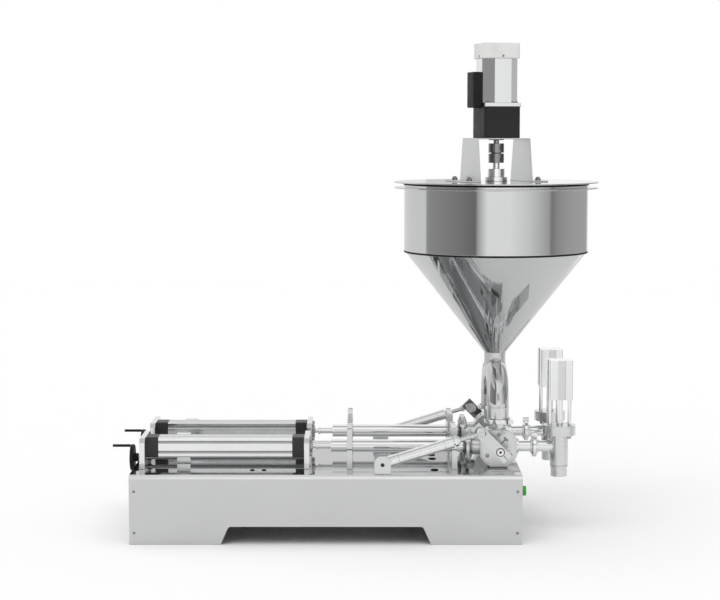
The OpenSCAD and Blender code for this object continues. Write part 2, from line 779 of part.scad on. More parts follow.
module manifold() color("#c6c8ca") place() at_hopper() difference() {
  union() {
    manifold_solid(0);
    both_sides() rod_z(0, -hs, ring_z, ring_z + 3, 58);
  }
  manifold_solid(2);
}

module foot_bolts(z0, z1, d) for (x = [-bolt_x, bolt_x], y = [-bolt_y, bolt_y]) rod_z(x, y, z0, z1, d);

module lid() color("#c9cbcd") place() at_hopper() difference() {
  translate([0, 0, lid_z0]) cylinder(h = flange_t, d = lid_size, $fn = 180);
  rod_z(0, 0, lid_z0 - 1, lid_z1 + 1, 40);
  rotate(motor_turn) foot_bolts(lid_z0 - 1, lid_z1 + 1, 8);
}

module lid_bolts() color("#3c3d40") place() at_motor() {
  foot_bolts(lid_z0 - 2, lid_z1 + 12, 8);
  foot_bolts(lid_z1 + 3, lid_z1 + 9, 14);
  for (x = [-1, 1], y = [-1, 1])
    rod_z(x * (motor_size / 2 - 9), y * (motor_size / 2 - 9), motor_z0, motor_z0 + 4, 8);
}

module motor_bracket() color("#d5d6d8") place() at_motor() difference() {
  union() {
    box(-bracket_w, bracket_w, -bracket_d, bracket_d, gear_z0 - flange_t, gear_z0);
    for (s = [0, 1]) mirror([s, 0, 0]) {
      box(bracket_w - flange_t, foot_reach, -foot_d, foot_d, lid_z1, lid_z1 + flange_t);
      along_x(bracket_w - flange_t, bracket_w)
        polygon([[-foot_d, lid_z1], [foot_d, lid_z1], [bracket_d, gear_z0], [-bracket_d, gear_z0]]);
    }
  }
  rod_z(0, 0, gear_z0 - 4, gear_z0 + 1, 40);
  foot_bolts(lid_z1 - 1, lid_z1 + 4, 8);
}

module bearing_housing() color("#cfd1d3") place() at_hopper() difference() {
  union() {
    rod_z(0, 0, lid_z1, lid_z1 + 10.5, 53);
    rod_z(0, 0, lid_z0 - 8, lid_z1 + 30, 40);
  }
  rod_z(0, 0, lid_z0 - 9, lid_z1 + 31, 16.4 + 2 * fit);
}

module gearbox() color("#3b3b3c") place() at_motor() difference() {
  union() {
    translate([0, 0, gear_z0]) linear_extrude(73.3) round_box(motor_size, motor_size, 9);
    rod_z(0, 0, gear_z0 - 5, gear_z0, 37);
    translate([0, 0, gear_z0 + 73.3]) linear_extrude(9.4) round_box(motor_size, motor_size, 3);
  }
  rod_z(0, 0, gear_z0 - 6, gear_z0 + 20, 13 + 2 * fit);
}

module motor_body() color("#d3d4d6") place() at_motor() translate([0, 0, motor_z0])
  linear_extrude(motor_h) difference() {
    round_box(motor_size - 2, motor_size - 2, 3);
    for (a = [0 : 90 : 270]) rotate(a) translate([(motor_size - 2) / 2, (motor_size - 2) / 2]) rotate(45)
      square(33, center = true);
  }

module motor_cap() color("#eeeeec") place() at_motor() translate([0, 0, motor_z1])
  linear_extrude(cap_h) round_box(motor_size - 2, motor_size - 2, 9);

module terminal_box() color("#1b1c1e") place() at_motor()
  box(-motor_size / 2 - 21, -motor_size / 2, -24, 24, motor_z0 - 11.8, motor_z0 + 72.2);

module shaft_coupling() color("#55575a") place() at_hopper() difference() {
  union() {
    rod_z(0, 0, lid_z1 + 44, lid_z1 + 66, 37);
    rod_z(0, 0, lid_z1 + 65, lid_z1 + 69, 24);
    rod_z(0, 0, lid_z1 + 68, lid_z1 + 90, 37);
    rod_z(0, 0, lid_z1 + 89, gear_z0 + 18, 13);
  }
  rod_z(0, 0, lid_z1 + 43, lid_z1 + 60, 16.4);
  for (z = [52, 80], a = [0, 90]) translate([0, 0, lid_z1 + z]) rotate([0, 90, a - 60])
    translate([0, 0, 15]) cylinder(h = 5, d = 6);
}

module agitator() color("#c5c7c9") place() at_hopper() {
  rod_z(0, 0, cone_z0 + 30, lid_z1 + 60, 16.4);
  for (a = [0, 90]) rotate(a) {
    box(-arm_reach, arm_reach, -4, 4, cone_z1 + 30, cone_z1 + 55);
    box(-low_reach, low_reach, -4, 4, cone_z1 - 80, cone_z1 - 60);
  }
  for (s = [-1, 1]) translate([s * arm_reach, 0, 0]) box(-4, 4, -12, 12, cone_z1 + 10, cone_z1 + 110);
  box(-45, 45, -4, 4, cone_z0 + 95, cone_z0 + 112);
}

base_cover();
side_panels();
base_rivets();
button_bezel();
button_cap();
handwheel_plates();
drive_barrels();
drive_end_caps();
drive_plates();
handwheel_front();
handwheel_rear();
lead_screw_front();
lead_screw_rear();
crank_grip_front();
crank_grip_rear();
carriage_guides();
switch_carriage_front();
switch_carriage_rear();
drive_rod_front();
drive_rod_rear();
product_piston_front();
product_piston_rear();
product_tubes();
tube_clamp_bases();
tube_clamp_caps();
union_nuts();
valve_bodies();
valve_covers();
valve_rotor_front();
valve_rotor_rear();
valve_lever_front();
valve_lever_rear();
actuator_brackets();
actuator_body_front();
actuator_body_rear();
actuator_rod_front();
actuator_rod_rear();
outlet_pipes();
nozzle_bodies();
nozzle_cylinders();
nozzle_tie_rods();
nozzle_plunger_front();
nozzle_plunger_rear();
pipe_clamps();
machine_screws();
hopper_cylinder();
hopper_flange();
hopper_cone();
hopper_seals();
manifold();
lid();
lid_bolts();
motor_bracket();
bearing_housing();
gearbox();
motor_body();
motor_cap();
terminal_box();
shaft_coupling();
agitator();
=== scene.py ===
"""Looks of a two head bench piston filler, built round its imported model."""

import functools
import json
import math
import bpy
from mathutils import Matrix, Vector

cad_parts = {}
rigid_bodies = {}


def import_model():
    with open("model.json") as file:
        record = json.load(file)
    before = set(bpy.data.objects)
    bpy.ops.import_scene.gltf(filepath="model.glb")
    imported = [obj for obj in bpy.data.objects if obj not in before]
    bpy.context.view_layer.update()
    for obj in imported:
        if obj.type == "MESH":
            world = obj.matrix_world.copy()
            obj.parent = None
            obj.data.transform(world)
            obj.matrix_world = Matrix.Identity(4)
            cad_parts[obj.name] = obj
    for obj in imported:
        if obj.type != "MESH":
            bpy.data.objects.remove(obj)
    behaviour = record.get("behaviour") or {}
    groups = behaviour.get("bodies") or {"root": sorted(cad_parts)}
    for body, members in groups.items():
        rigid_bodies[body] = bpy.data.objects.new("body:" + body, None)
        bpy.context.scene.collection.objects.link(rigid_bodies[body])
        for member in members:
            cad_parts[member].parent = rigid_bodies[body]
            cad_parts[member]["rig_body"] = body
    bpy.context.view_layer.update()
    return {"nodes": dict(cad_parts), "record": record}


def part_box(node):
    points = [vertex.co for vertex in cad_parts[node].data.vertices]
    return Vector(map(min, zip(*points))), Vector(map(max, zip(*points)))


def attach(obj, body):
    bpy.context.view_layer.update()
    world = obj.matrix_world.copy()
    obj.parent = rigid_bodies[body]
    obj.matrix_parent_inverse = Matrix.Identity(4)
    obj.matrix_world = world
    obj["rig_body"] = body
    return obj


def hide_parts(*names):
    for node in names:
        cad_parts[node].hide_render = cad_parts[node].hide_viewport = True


bl_info = {
    "name": "Bench Piston Filler",
    "version": (1, 0, 0),
    "blender": (4, 5, 0),
    "location": "3D View > Sidebar > Filler",
    "description": "Finishes a two head piston filler with a stirred hopper, and its plain studio",
    "category": "Add Mesh",
}

import bmesh
import bpy
from bpy.props import FloatProperty, FloatVectorProperty, IntProperty, PointerProperty
from mathutils import Matrix, Vector

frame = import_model()

MM = 0.001
SIDES = (("front", -1), ("rear", 1))
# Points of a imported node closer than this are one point
MERGE = 0.00001
# Flat neighbours within this angle are one face
FLAT = math.radians(0.4)
# Edges sharper than this stay crisp, and those sharper than a corner are broken
CRISP = math.radians(32)
CORNER = math.radians(50)
# Levels of the soft boxes, by degrees from the front over the top to the back
SOFT_BOXES = ((0.5, 1.0), (8, 0.98), (14, 0.60), (27, 0.53), (34, 1.0), (58, 1.0), (72, 0.60),
              (92, 0.42), (106, 0.52), (120, 0.95), (150, 0.92), (162, 0.68), (179.5, 0.62))
# Share of that light left from each side, over the way from left, -1, to right, 1
SIDE_SHARE = ((-0.98, 0.12), (-0.89, 0.12), (-0.85, 0.80), (-0.56, 0.80), (-0.49, 0.20), (-0.32, 0.18),
              (-0.25, 0.9), (-0.12, 1.0), (0.68, 0.85), (0.88, 0.70), (0.91, 0.20), (0.98, 0.22))
# Cards round the hopper: radius, lowest and highest edge, and levels by degrees from the front to the right
CARDS = {
    "card_left": (3.2, 0.25, 2.6, ((-179, 0.80), (-99, 0.80), (-96.5, 0.38), (-90, 0.34), (-45, 0.24),
                                   (-28, 0.19), (-25.5, 0.45), (-14, 0.62))),
    "card_right": (3.2, 0.25, 2.6, ((14, 0.98), (36, 0.80), (63, 0.46), (66.5, 0.26), (76, 0.36), (90, 0.43),
                                    (110, 0.47), (148, 0.44), (152, 0.80), (179, 0.80))),
    "low_card_left": (1.7, 0.03, 0.3, ((-150, 0.50), (-120, 0.50), (-90, 0.80), (-14, 0.90))),
    "low_card_right": (1.7, 0.03, 0.3, ((30, 1.0), (72, 0.80), (82, 0.14), (96, 0.14), (102, 0.70),
                                        (150, 0.60))),
}
CARD_STEPS = 48
# Soft lamps: degrees of tilt from straight down, of turn and of spread, and share of their light
LAMPS = {"lamp_top": (4, 0, 75, 0.7), "lamp_front": (42, -28, 50, 0.3)}
# Bare metals: colour setting, lowest and highest roughness, stretch and depth of the grain, uneven colour
FINE_GRAIN = (600, 600, 600)
METALS = {
    "satin_steel": ("satin", (0.30, 0.36), (25, 900, 900), 0.000006, 0.015),
    "mirror_steel": ("mirror", (0.035, 0.075), (3, 3, 5), 0.00012, 0.02),
    "deck_steel": ("deck", (0.04, 0.07), (60, 500, 500), 0.000003, 0.02),
    "polished_steel": ("polished", (0.03, 0.07), (900, 60, 60), 0.0000015, 0.03),
    "machined_steel": ("machined", (0.22, 0.32), (500, 500, 60), 0.000006, 0.03),
    "aluminium": ("aluminium", (0.14, 0.20), (40, 900, 900), 0.000003, 0.03),
    # The bends take the aluminium's lighter colour, a painted highlight along the folded sheet's edges
    "bend_steel": ("aluminium", (0.28, 0.36), (40, 900, 900), 0.000004, 0.03),
    "screw_steel": ("screw", (0.25, 0.38), FINE_GRAIN, 0.000006, 0.03),
    "bolt_steel": ("bolt", (0.10, 0.18), FINE_GRAIN, 0.000003, 0.03),
    "dark_steel": ("dark", (0.30, 0.42), FINE_GRAIN, 0.00001, 0.1),
}
# Coats, plastics and rubber: colour setting, lowest and highest roughness, specular level, scale and
# depth of the texture, wear of the corners
COATINGS = {
    "black_coating": ("black_coat", (0.38, 0.48), 0.5, 1500, 0.00002, 0.25),
    "grey_paint": ("grey_paint", (0.40, 0.50), 0.2, 900, 0.00003, 0.2),
    "black_plastic": ("black", (0.45, 0.6), 0.25, 1200, 0.00003, 0),
    "white_plastic": ("white", (0.25, 0.35), 0.5, 400, 0.00001, 0),
    "green_plastic": ("green", (0.18, 0.28), 0.5, 300, 0.00001, 0),
    "black_rubber": ("rubber", (0.6, 0.75), 0.3, 900, 0.00004, 0),
}


def middle(node_name):
    """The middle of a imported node's box."""
    low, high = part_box(node_name)
    return (low + high) / 2


def radius_of(node_name):
    """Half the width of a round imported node."""
    low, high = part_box(node_name)
    return (high.x - low.x) / 2


HOPPER = middle("hopper_cylinder")
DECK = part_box("base_cover")[1].z
# Distance of each head's axis from the middle, and its height
HEAD = middle("product_piston_rear").y
AXIS_Z = middle("product_piston_front").z
PIPE_RADIUS = 25.4 * MM
PIPE_WALL = 2 * MM
PIPE_STEPS = 96
BEND_STEPS = 24
FERRULE_RADIUS = 29 * MM
HOPPER_WALL = 2 * MM
# Thickness of the cone at its wide end
CONE_WALL = 2.7 * MM
SCREW_DIAMETER = 10 * MM
# Height of the pipe's neck above the middle of its arch
NECK = 40 * MM
# Turn of the nozzles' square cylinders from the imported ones, and the angle that they then stand at
CYLINDER_TURN = math.radians(11)
CYLINDER_FACING = math.radians(5)


def colour_property(name, text, value):
    """A colour that a user may change, as it looks in plain light."""
    return FloatVectorProperty(name=name, description=text, default=value,
                               subtype="COLOR", size=3, min=0, max=1)


def length_property(name, text, value):
    """A length in metres."""
    return FloatProperty(name=name, description=text, default=value,
                         unit="LENGTH", subtype="DISTANCE", precision=4)


def share_property(name, text, value):
    """A share from 0 to 1."""
    return FloatProperty(name=name, description=text, default=value, min=0, max=1)


class StageSettings(bpy.types.PropertyGroup):
    """Camera, floor, lamps and reflected cards."""

    camera_place: FloatVectorProperty(
        name="Camera Place", description="Where the camera stands",
        default=(0.01453, -4.4063, 0.9479), subtype="TRANSLATION", unit="LENGTH")
    camera_tilt: FloatProperty(
        name="Camera Tilt", description="How far the camera looks down",
        default=math.radians(5.281), subtype="ANGLE")
    camera_turn: FloatProperty(
        name="Camera Turn", description="How far the camera looks to the left",
        default=0.0011, subtype="ANGLE")
    camera_lens: FloatProperty(
        name="Lens", description="Focal length on a 36 mm sensor", default=92.5)
    floor_colour: colour_property("Floor", "Colour of the pale floor", (0.62, 0.62, 0.62))
    floor_radius: length_property("Floor Radius", "Radius of the round floor", 7.0)
    floor_seen: share_property("Floor Seen", "How pale the camera sees the floor", 1.0)
    floor_mirrored: share_property("Floor Mirrored", "How pale metal shows the floor", 0.80)
    ambient: FloatProperty(
        name="Ambient", description="Level of the plain light from all round", default=0.58)
    lamp_power: FloatProperty(
        name="Lamp Power", description="Light of the two soft lamps together", default=1.32)
    card_level: share_property("Card Level", "Share of the grey cards' own brightness", 1.0)


class FinishSettings(bpy.types.PropertyGroup):
    """Colours of the finishes."""

    satin: colour_property("Satin Steel", "Folded sheet of the base", (0.70, 0.705, 0.71))
    mirror: colour_property("Mirror Steel", "Hopper, lid and pipe arch", (0.66, 0.665, 0.67))
    deck: colour_property("Deck Steel", "Polished deck of the base", (0.52, 0.525, 0.53))
    polished: colour_property("Polished Steel", "Tubes, rods and pipes", (0.93, 0.935, 0.94))
    machined: colour_property("Machined Steel", "Clamps, valves and nozzles", (0.77, 0.775, 0.78))
    aluminium: colour_property("Aluminium", "Barrels, plates, actuators and motor", (0.95, 0.955, 0.96))
    # Also painted shade in the grooves of the drive barrels and of the nozzles' cylinders
    screw: colour_property("Screw Steel", "Screws, glands and lead screws", (0.50, 0.505, 0.51))
    bolt: colour_property("Bolt Steel", "Bolts, rivets, coupling and toggle bars", (0.30, 0.305, 0.315))
    # Also painted shade in holes, joints, undersides and on the levers' upper edges
    dark: colour_property("Dark Steel", "Edges and holes", (0.06, 0.06, 0.062))
    black_coat: colour_property("Black Coating", "End caps", (0.030, 0.030, 0.032))
    grey_paint: colour_property("Grey Paint", "Gearbox", (0.030, 0.030, 0.031))
    black: colour_property("Black Plastic", "Handwheels and terminal box", (0.012, 0.012, 0.013))
    white: colour_property("White Plastic", "Motor cap", (0.95, 0.95, 0.94))
    green: colour_property("Green Plastic", "Push button", (0.03, 0.62, 0.01))
    rubber: colour_property("Black Rubber", "Seals and plugs", (0.008, 0.008, 0.008))


class PieceSettings(bpy.types.PropertyGroup):
    """Sizes of the details."""

    turn_steps: IntProperty(
        name="Turned Steps", description="Faces round a turned piece", default=192, min=24)
    edge: length_property("Edge", "Width of the broken edges on plates and clamps", 0.0005)
    rim: length_property("Rim", "Radius of the hopper's and lid's rims", 0.0009)
    thread_pitch: length_property("Thread Pitch", "Pitch of the lead screws", 0.004)
    thread_depth: length_property("Thread Depth", "Depth of the lead screws' thread", 0.0009)
    elbow_ratio: FloatProperty(
        name="Elbow Ratio", description="Bend radius over pipe diameter", default=1.5)
    bead: length_property("Weld Bead", "Height of the pipe's weld beads", 0.0006)


def node(tree, kind, inputs=None, **settings):
    """Adds a node with its settings, and links or sets its inputs."""
    made = tree.nodes.new(kind)
    for name, value in settings.items():
        setattr(made, name, value)
    for key, value in (inputs or {}).items():
        if isinstance(value, bpy.types.NodeSocket):
            tree.links.new(value, made.inputs[key])
        else:
            made.inputs[key].default_value = value
    return made


def math_node(tree, operation, first, second=0.0):
    """A Math node's result."""
    made = node(tree, "ShaderNodeMath", {0: first, 1: second}, operation=operation)
    return made.outputs[0]


def times(tree, first, second):
    """Two values multiplied."""
    return math_node(tree, "MULTIPLY", first, second)


def ranged(tree, value, start, end, low=0.0, high=1.0, **settings):
    """How far a value is from start to end, put between low and high."""
    made = node(tree, "ShaderNodeMapRange", {"Value": value, "From Min": start, "From Max": end,
                                             "To Min": low, "To Max": high}, **settings)
    return made.outputs[0]


def mix_colours(tree, factor, first, second, blend="MIX"):
    """Two colours mixed by a factor."""
    made = node(tree, "ShaderNodeMix", {"Factor": factor, "A": first, "B": second},
                data_type="RGBA", blend_type=blend)
    return made.outputs["Result"]


def separated(tree, vector):
    """The X, Y and Z of a vector."""
    return node(tree, "ShaderNodeSeparateXYZ", {0: vector}).outputs


def combined(tree, **parts):
    """A vector of X, Y and Z."""
    return node(tree, "ShaderNodeCombineXYZ", parts).outputs[0]


def socket_kind(label, value):
    """The kind of socket for a named value; a geometry or a material has none."""
    if value is None:
        return "NodeSocket" + label
    if isinstance(value, tuple):
        return "NodeSocketColor" if len(value) == 4 else "NodeSocketVector"
    return "NodeSocketInt" if isinstance(value, int) else "NodeSocketFloat"


def new_group(name, kind, inputs, output, output_kind="NodeSocketFloat"):
    """A node group with named sockets; returns it with the sockets that it is given and that it fills."""
    tree = bpy.data.node_groups.new(name, kind)
    for label, value in inputs.items():
        made = tree.interface.new_socket(name=label, in_out="INPUT", socket_type=socket_kind(label, value))
        if value is not None:
            made.default_value = value
    tree.interface.new_socket(name=output, in_out="OUTPUT", socket_type=output_kind)
    return tree, tree.nodes.new("NodeGroupInput").outputs, tree.nodes.new("NodeGroupOutput").inputs


def object_noise(tree, low, high, **inputs):
    """Noise over the object, put between two levels."""
    place = node(tree, "ShaderNodeTexCoord")
    noise = node(tree, "ShaderNodeTexNoise", {"Vector": place.outputs["Object"], **inputs})
    return ranged(tree, noise.outputs[0], 0.35, 0.65, low, high)


@functools.cache
def grain_group():
    """Fine directional grain left by brushing or turning."""
    tree, given, result = new_group(
        "Grain", "ShaderNodeTree", {"Stretch": (1.0, 1.0, 1.0), "Detail": 3.0}, "Height")
    place = node(tree, "ShaderNodeTexCoord")
    drawn = node(tree, "ShaderNodeMapping",
                 {"Vector": place.outputs["Object"], "Scale": given["Stretch"]})
    noise = node(tree, "ShaderNodeTexNoise",
                 {"Vector": drawn.outputs[0], "Scale": 1.0, "Detail": given["Detail"]})
    tree.links.new(noise.outputs[0], result["Height"])
    return tree


@functools.cache
def smudge_group():
    """Slow uneven gloss, as hands and cloths leave on polished metal."""
    tree, given, result = new_group(
        "Smudge", "ShaderNodeTree", {"Size": 9.0, "Low": 0.1, "High": 0.2}, "Gloss")
    spread = object_noise(tree, given["Low"], given["High"], Scale=given["Size"], Detail=4.0, Distortion=0.6)
    tree.links.new(spread, result["Gloss"])
    return tree


@functools.cache
def tint_group():
    """A colour that gets a little lighter and darker over the surface."""
    tree, given, result = new_group(
        "Tint", "ShaderNodeTree", {"Color": (1.0, 1.0, 1.0, 1.0), "Size": 5.0, "Amount": 0.04},
        "Color", "NodeSocketColor")
    low = math_node(tree, "SUBTRACT", 1.0, given["Amount"])
    high = math_node(tree, "ADD", 1.0, given["Amount"])
    level = object_noise(tree, low, high, Scale=given["Size"], Detail=2.0)
    shade = node(tree, "ShaderNodeVectorMath", {0: given["Color"], "Scale": level}, operation="SCALE")
    tree.links.new(shade.outputs[0], result["Color"])
    return tree


@functools.cache
def worn_edge_group():
    """A mask that is bright along corners, where a coating wears thin."""
    tree, given, result = new_group(
        "Worn Edge", "ShaderNodeTree", {"Width": 0.001, "Strength": 0.5}, "Mask")
    rounded_normal = node(tree, "ShaderNodeBevel", {"Radius": given["Width"]}, samples=4)
    surface = node(tree, "ShaderNodeNewGeometry")
    alike = node(tree, "ShaderNodeVectorMath",
                 {0: rounded_normal.outputs[0], 1: surface.outputs["Normal"]}, operation="DOT_PRODUCT")
    edge = ranged(tree, alike.outputs["Value"], 0.99, 0.80, 0.0, given["Strength"])
    tree.links.new(edge, result["Mask"])
    return tree


@functools.cache
def painted_shade_group():
    """A mask of painted shade that is bright in joints, grooves and inner corners, where little light
    reaches.
    """
    tree, given, result = new_group(
        "Crevice", "ShaderNodeTree", {"Reach": 0.004, "Strength": 0.8}, "Mask")
    openness = node(tree, "ShaderNodeAmbientOcclusion", {"Distance": given["Reach"]}, samples=6)
    mask = ranged(tree, openness.outputs["AO"], 0.80, 0.30, 0.0, given["Strength"])
    tree.links.new(mask, result["Mask"])
    return tree


def group(tree, maker, **inputs):
    """Places one of the shared shader groups in a material."""
    made = tree.nodes.new("ShaderNodeGroup")
    made.node_tree = maker()
    for key, value in inputs.items():
        made.inputs[key].default_value = value
    return made


def opaque(colour):
    """A colour with full alpha."""
    return (*colour, 1.0)


def new_material(name):
    """An empty material; returns it, its tree and its Principled BSDF."""
    material = bpy.data.materials.new(name)
    material.use_nodes = True
    tree = material.node_tree
    return material, tree, tree.nodes["Principled BSDF"]


def grained(name, colour, gloss, stretch, bump, tint, tint_size, smudge_size, detail):
    """A material with uneven colour and gloss and a fine relief; returns its parts and its colour."""
    material, tree, shader = new_material(name)
    shade = group(tree, tint_group, Color=opaque(colour), Size=tint_size, Amount=tint)
    smudge = group(tree, smudge_group, Size=smudge_size, Low=gloss[0], High=gloss[1])
    grain = group(tree, grain_group, Stretch=stretch, Detail=detail)
    relief = node(tree, "ShaderNodeBump",
                  {"Height": grain.outputs["Height"], "Strength": 1.0, "Distance": bump})
    tree.links.new(smudge.outputs["Gloss"], shader.inputs["Roughness"])
    tree.links.new(relief.outputs["Normal"], shader.inputs["Normal"])
    return material, tree, shader, shade.outputs["Color"]


def metal(name, colour, gloss, stretch, bump, tint):
    """A bare metal with painted shade, darker in its joints and inner corners."""
    material, tree, shader, shade = grained(name, colour, gloss, stretch, bump, tint,
                                            tint_size=4.0, smudge_size=7.0, detail=3.0)
    shader.inputs["Metallic"].default_value = 1.0
    # Painted shade: the colour goes towards near black where the surface is occluded
    crevice_shade = group(tree, painted_shade_group, Reach=0.003, Strength=0.6)
    shade = mix_colours(tree, crevice_shade.outputs["Mask"], shade, opaque((0.03, 0.03, 0.03)))
    tree.links.new(shade, shader.inputs["Base Color"])
    return material


def coated(name, colour, gloss, specular, texture, bump, wear):
    """A painted or moulded surface with a fine texture and lighter worn corners."""
    material, tree, shader, shade = grained(name, colour, gloss, (texture,) * 3, bump, tint=0.06,
                                            tint_size=14.0, smudge_size=20.0, detail=2.0)
    shader.inputs["Specular IOR Level"].default_value = specular
    if wear:
        edge = group(tree, worn_edge_group, Width=0.0012, Strength=wear)
        shade = mix_colours(tree, edge.outputs["Mask"], shade, opaque((0.30, 0.30, 0.31)))
    tree.links.new(shade, shader.inputs["Base Color"])
    return material


@functools.cache
def finishes():
    """Every finish by its name, made once."""
    paint = bpy.context.scene.filler_finish
    made = {}
    for maker, rows in ((metal, METALS), (coated, COATINGS)):
        for name, (colour, *values) in rows.items():
            made[name] = maker(name, getattr(paint, colour), *values)
    return made


def slot_of(node_name):
    """The record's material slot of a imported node."""
    parts = frame["record"]["subparts"]
    return next(part["material_slot"] for part in parts if part["node"] == node_name)


def body_of(node_name):
    """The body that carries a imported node."""
    return frame["nodes"][node_name]["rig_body"]


def new_object(name, data):
    """An object in the scene."""
    made = bpy.data.objects.new(name, data)
    bpy.context.scene.collection.objects.link(made)
    return made


def new_piece(name, mesh, slot, body, replaced=()):
    """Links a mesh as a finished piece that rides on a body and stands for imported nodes."""
    piece = new_object(name, mesh)
    if not mesh.materials:
        mesh.materials.append(finishes()[slot])
    if not mesh.has_custom_normals:
        mesh.shade_smooth()
        mesh.set_sharp_from_angle(angle=CRISP)
    if replaced:
        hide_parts(*replaced)
    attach(piece, body)
    return piece


def plain_mesh(shape, name):
    """Turns a bmesh into a mesh that holds only points and faces, and frees it."""
    shape.verts.index_update()
    mesh = bpy.data.meshes.new(name)
    faces = [[v.index for v in f.verts] for f in shape.faces]
    mesh.from_pydata([v.co[:] for v in shape.verts], [], faces)
    shape.free()
    return mesh


def applied(piece_mesh, add_modifier):
    """The mesh that a modifier makes, on a plain mesh of its own."""
    carrier = new_object("carrier", piece_mesh)
    add_modifier(carrier)
    bpy.context.view_layer.update()
    depsgraph = bpy.context.evaluated_depsgraph_get()
    mesh = bpy.data.meshes.new_from_object(carrier.evaluated_get(depsgraph))
    bpy.data.objects.remove(carrier)
    return mesh


def merged_copy(node_name, cut=None):
    """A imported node's mesh with its points merged and its flat faces whole, cut at a height if given."""
    shape = bmesh.new()
    shape.from_mesh(frame["nodes"][node_name].data)
    bmesh.ops.remove_doubles(shape, verts=shape.verts, dist=MERGE)
    bmesh.ops.dissolve_limit(shape, angle_limit=FLAT, verts=shape.verts, edges=shape.edges)
    if cut:
        bmesh.ops.bisect_plane(shape, geom=shape.verts[:] + shape.edges[:] + shape.faces[:],
                               plane_co=(0, 0, cut), plane_no=(0, 0, 1))
    return plain_mesh(shape, node_name)


def broken_edges(mesh, width, steps=2):
    """Rounds a mesh's sharp edges a little, as a file does."""
    def bevel(carrier):
        cut = carrier.modifiers.new("edge", "BEVEL")
        cut.width = width
        cut.segments = steps
        cut.limit_method = "ANGLE"
        cut.angle_limit = CORNER
        cut.use_clamp_overlap = False
        cut.miter_outer = "MITER_ARC"
    return applied(mesh, bevel)


def flat_shading(mesh):
    """Gives flat faces their own normals, so that only the rounds shade smoothly."""
    mesh.shade_smooth()
    mesh.set_sharp_from_angle(angle=CRISP)

    def weigh(carrier):
        weighted = carrier.modifiers.new("normals", "WEIGHTED_NORMAL")
        weighted.keep_sharp = True
    return applied(mesh, weigh)


def dress(node_name, edge=0.0, steps=2, finish=None, cut=None):
    """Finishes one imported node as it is, with broken edges where edge is given."""
    mesh = merged_copy(node_name, cut)
    if edge:
        mesh = broken_edges(mesh, edge, steps)
    mesh = flat_shading(mesh)
    mesh.name = node_name + "_finish"
    if finish:
        mesh.materials.append(finishes()[finish])
    return new_piece(node_name + "_finish", mesh, slot_of(node_name), body_of(node_name), [node_name])


def marked(piece, finish, test):
    """Gives another finish to the faces whose middle and normal pass a test."""
    piece.data.materials.append(finishes()[finish])
    index = len(piece.data.materials) - 1
    for face in piece.data.polygons:
        if test(face.center, face.normal):
            face.material_index = index
    return piece


def rounded(outline, size, steps=3):
    """A closed outline with each corner rounded off."""
    result = []
    for i, corner in enumerate(outline):
        corner = Vector(corner)
        before = Vector(outline[i - 1]) - corner
        after = Vector(outline[(i + 1) % len(outline)]) - corner
        # Less than half of each side, so that neighbouring rounds don't meet
        reach = min(size, before.length / 2.2, after.length / 2.2)
        start = corner + before.normalized() * reach
        end = corner + after.normalized() * reach
        for k in range(steps + 1):
            t = k / steps
            result.append(start * (1 - t) ** 2 + corner * 2 * t * (1 - t) + end * t ** 2)
    return result


def ring_outline(inner, outer, low, high):
    """The closed outline of a plain ring, or of a rod where inner is 0."""
    return [(inner, low), (outer, low), (outer, high), (inner, high)]


def pointed(place, way):
    """The matrix that puts an upright shape at a place and points it a way."""
    return Matrix.Translation(place) @ way.to_track_quat("Z", "Y").to_matrix().to_4x4()


def turned(name, outline, place=Matrix.Identity(4), steps=None):
    """A solid turned from a closed outline of (radius, height) about an upright axis."""
    steps = steps or bpy.context.scene.filler_piece.turn_steps
    shape = bmesh.new()
    rings = []
    for i in range(steps):
        angle = 2 * math.pi * i / steps
        across = Vector((math.cos(angle), math.sin(angle), 0))
        rings.append([shape.verts.new(across * p[0] + Vector((0, 0, p[1]))) for p in outline])
    count = len(outline)
    for i in range(steps):
        here, there = rings[i], rings[(i + 1) % steps]
        for j in range(count):
            k = (j + 1) % count
            shape.faces.new((here[j], there[j], there[k], here[k]))
    bmesh.ops.remove_doubles(shape, verts=shape.verts, dist=MERGE)
    bmesh.ops.recalc_face_normals(shape, faces=shape.faces)
    bmesh.ops.transform(shape, matrix=place, verts=shape.verts)
    return plain_mesh(shape, name)


def joined(name, meshes):
    """Several meshes as one."""
    shape = bmesh.new()
    for mesh in meshes:
        shape.from_mesh(mesh)
        bpy.data.meshes.remove(mesh)
    return plain_mesh(shape, name)


def socket_id(tree, label):
    """The identifier of a modifier input."""
    return next(item.identifier for item in tree.interface.items_tree
                if item.name == label and item.in_out == "INPUT")


def grown(name, base_mesh, tree, inputs):
    """The plain mesh that a geometry tree grows from a mesh."""
    def grow(carrier):
        modifier = carrier.modifiers.new(name, "NODES")
        modifier.node_group = tree
        for label, value in inputs.items():
            modifier[socket_id(tree, label)] = value
    mesh = applied(base_mesh, grow)
    mesh.name = name
    return mesh


def point_cloud(name, places):
    """A mesh of loose points, each with the direction that it faces."""
    mesh = bpy.data.meshes.new(name)
    mesh.from_pydata([p for p, _ in places], [], [])
    facing = mesh.attributes.new("facing", "FLOAT_VECTOR", "POINT")
    for value, (_, direction) in zip(facing.data, places):
        value.vector = direction
    return mesh


def path_mesh(name, paths):
    """A mesh of open lines through each path's points."""
    points, lines = [], []
    for path in paths:
        start = len(points)
        points += path
        lines += [(start + i, start + i + 1) for i in range(len(path) - 1)]
    mesh = bpy.data.meshes.new(name)
    mesh.from_pydata(points, lines, [])
    return mesh


def geometry_tree(name, sizes):
    """A geometry tree with named sizes, a geometry and a material; returns it with its sockets."""
    return new_group(name, "GeometryNodeTree", {"Geometry": None, **sizes, "Material": None},
                     "Geometry", "NodeSocketGeometry")


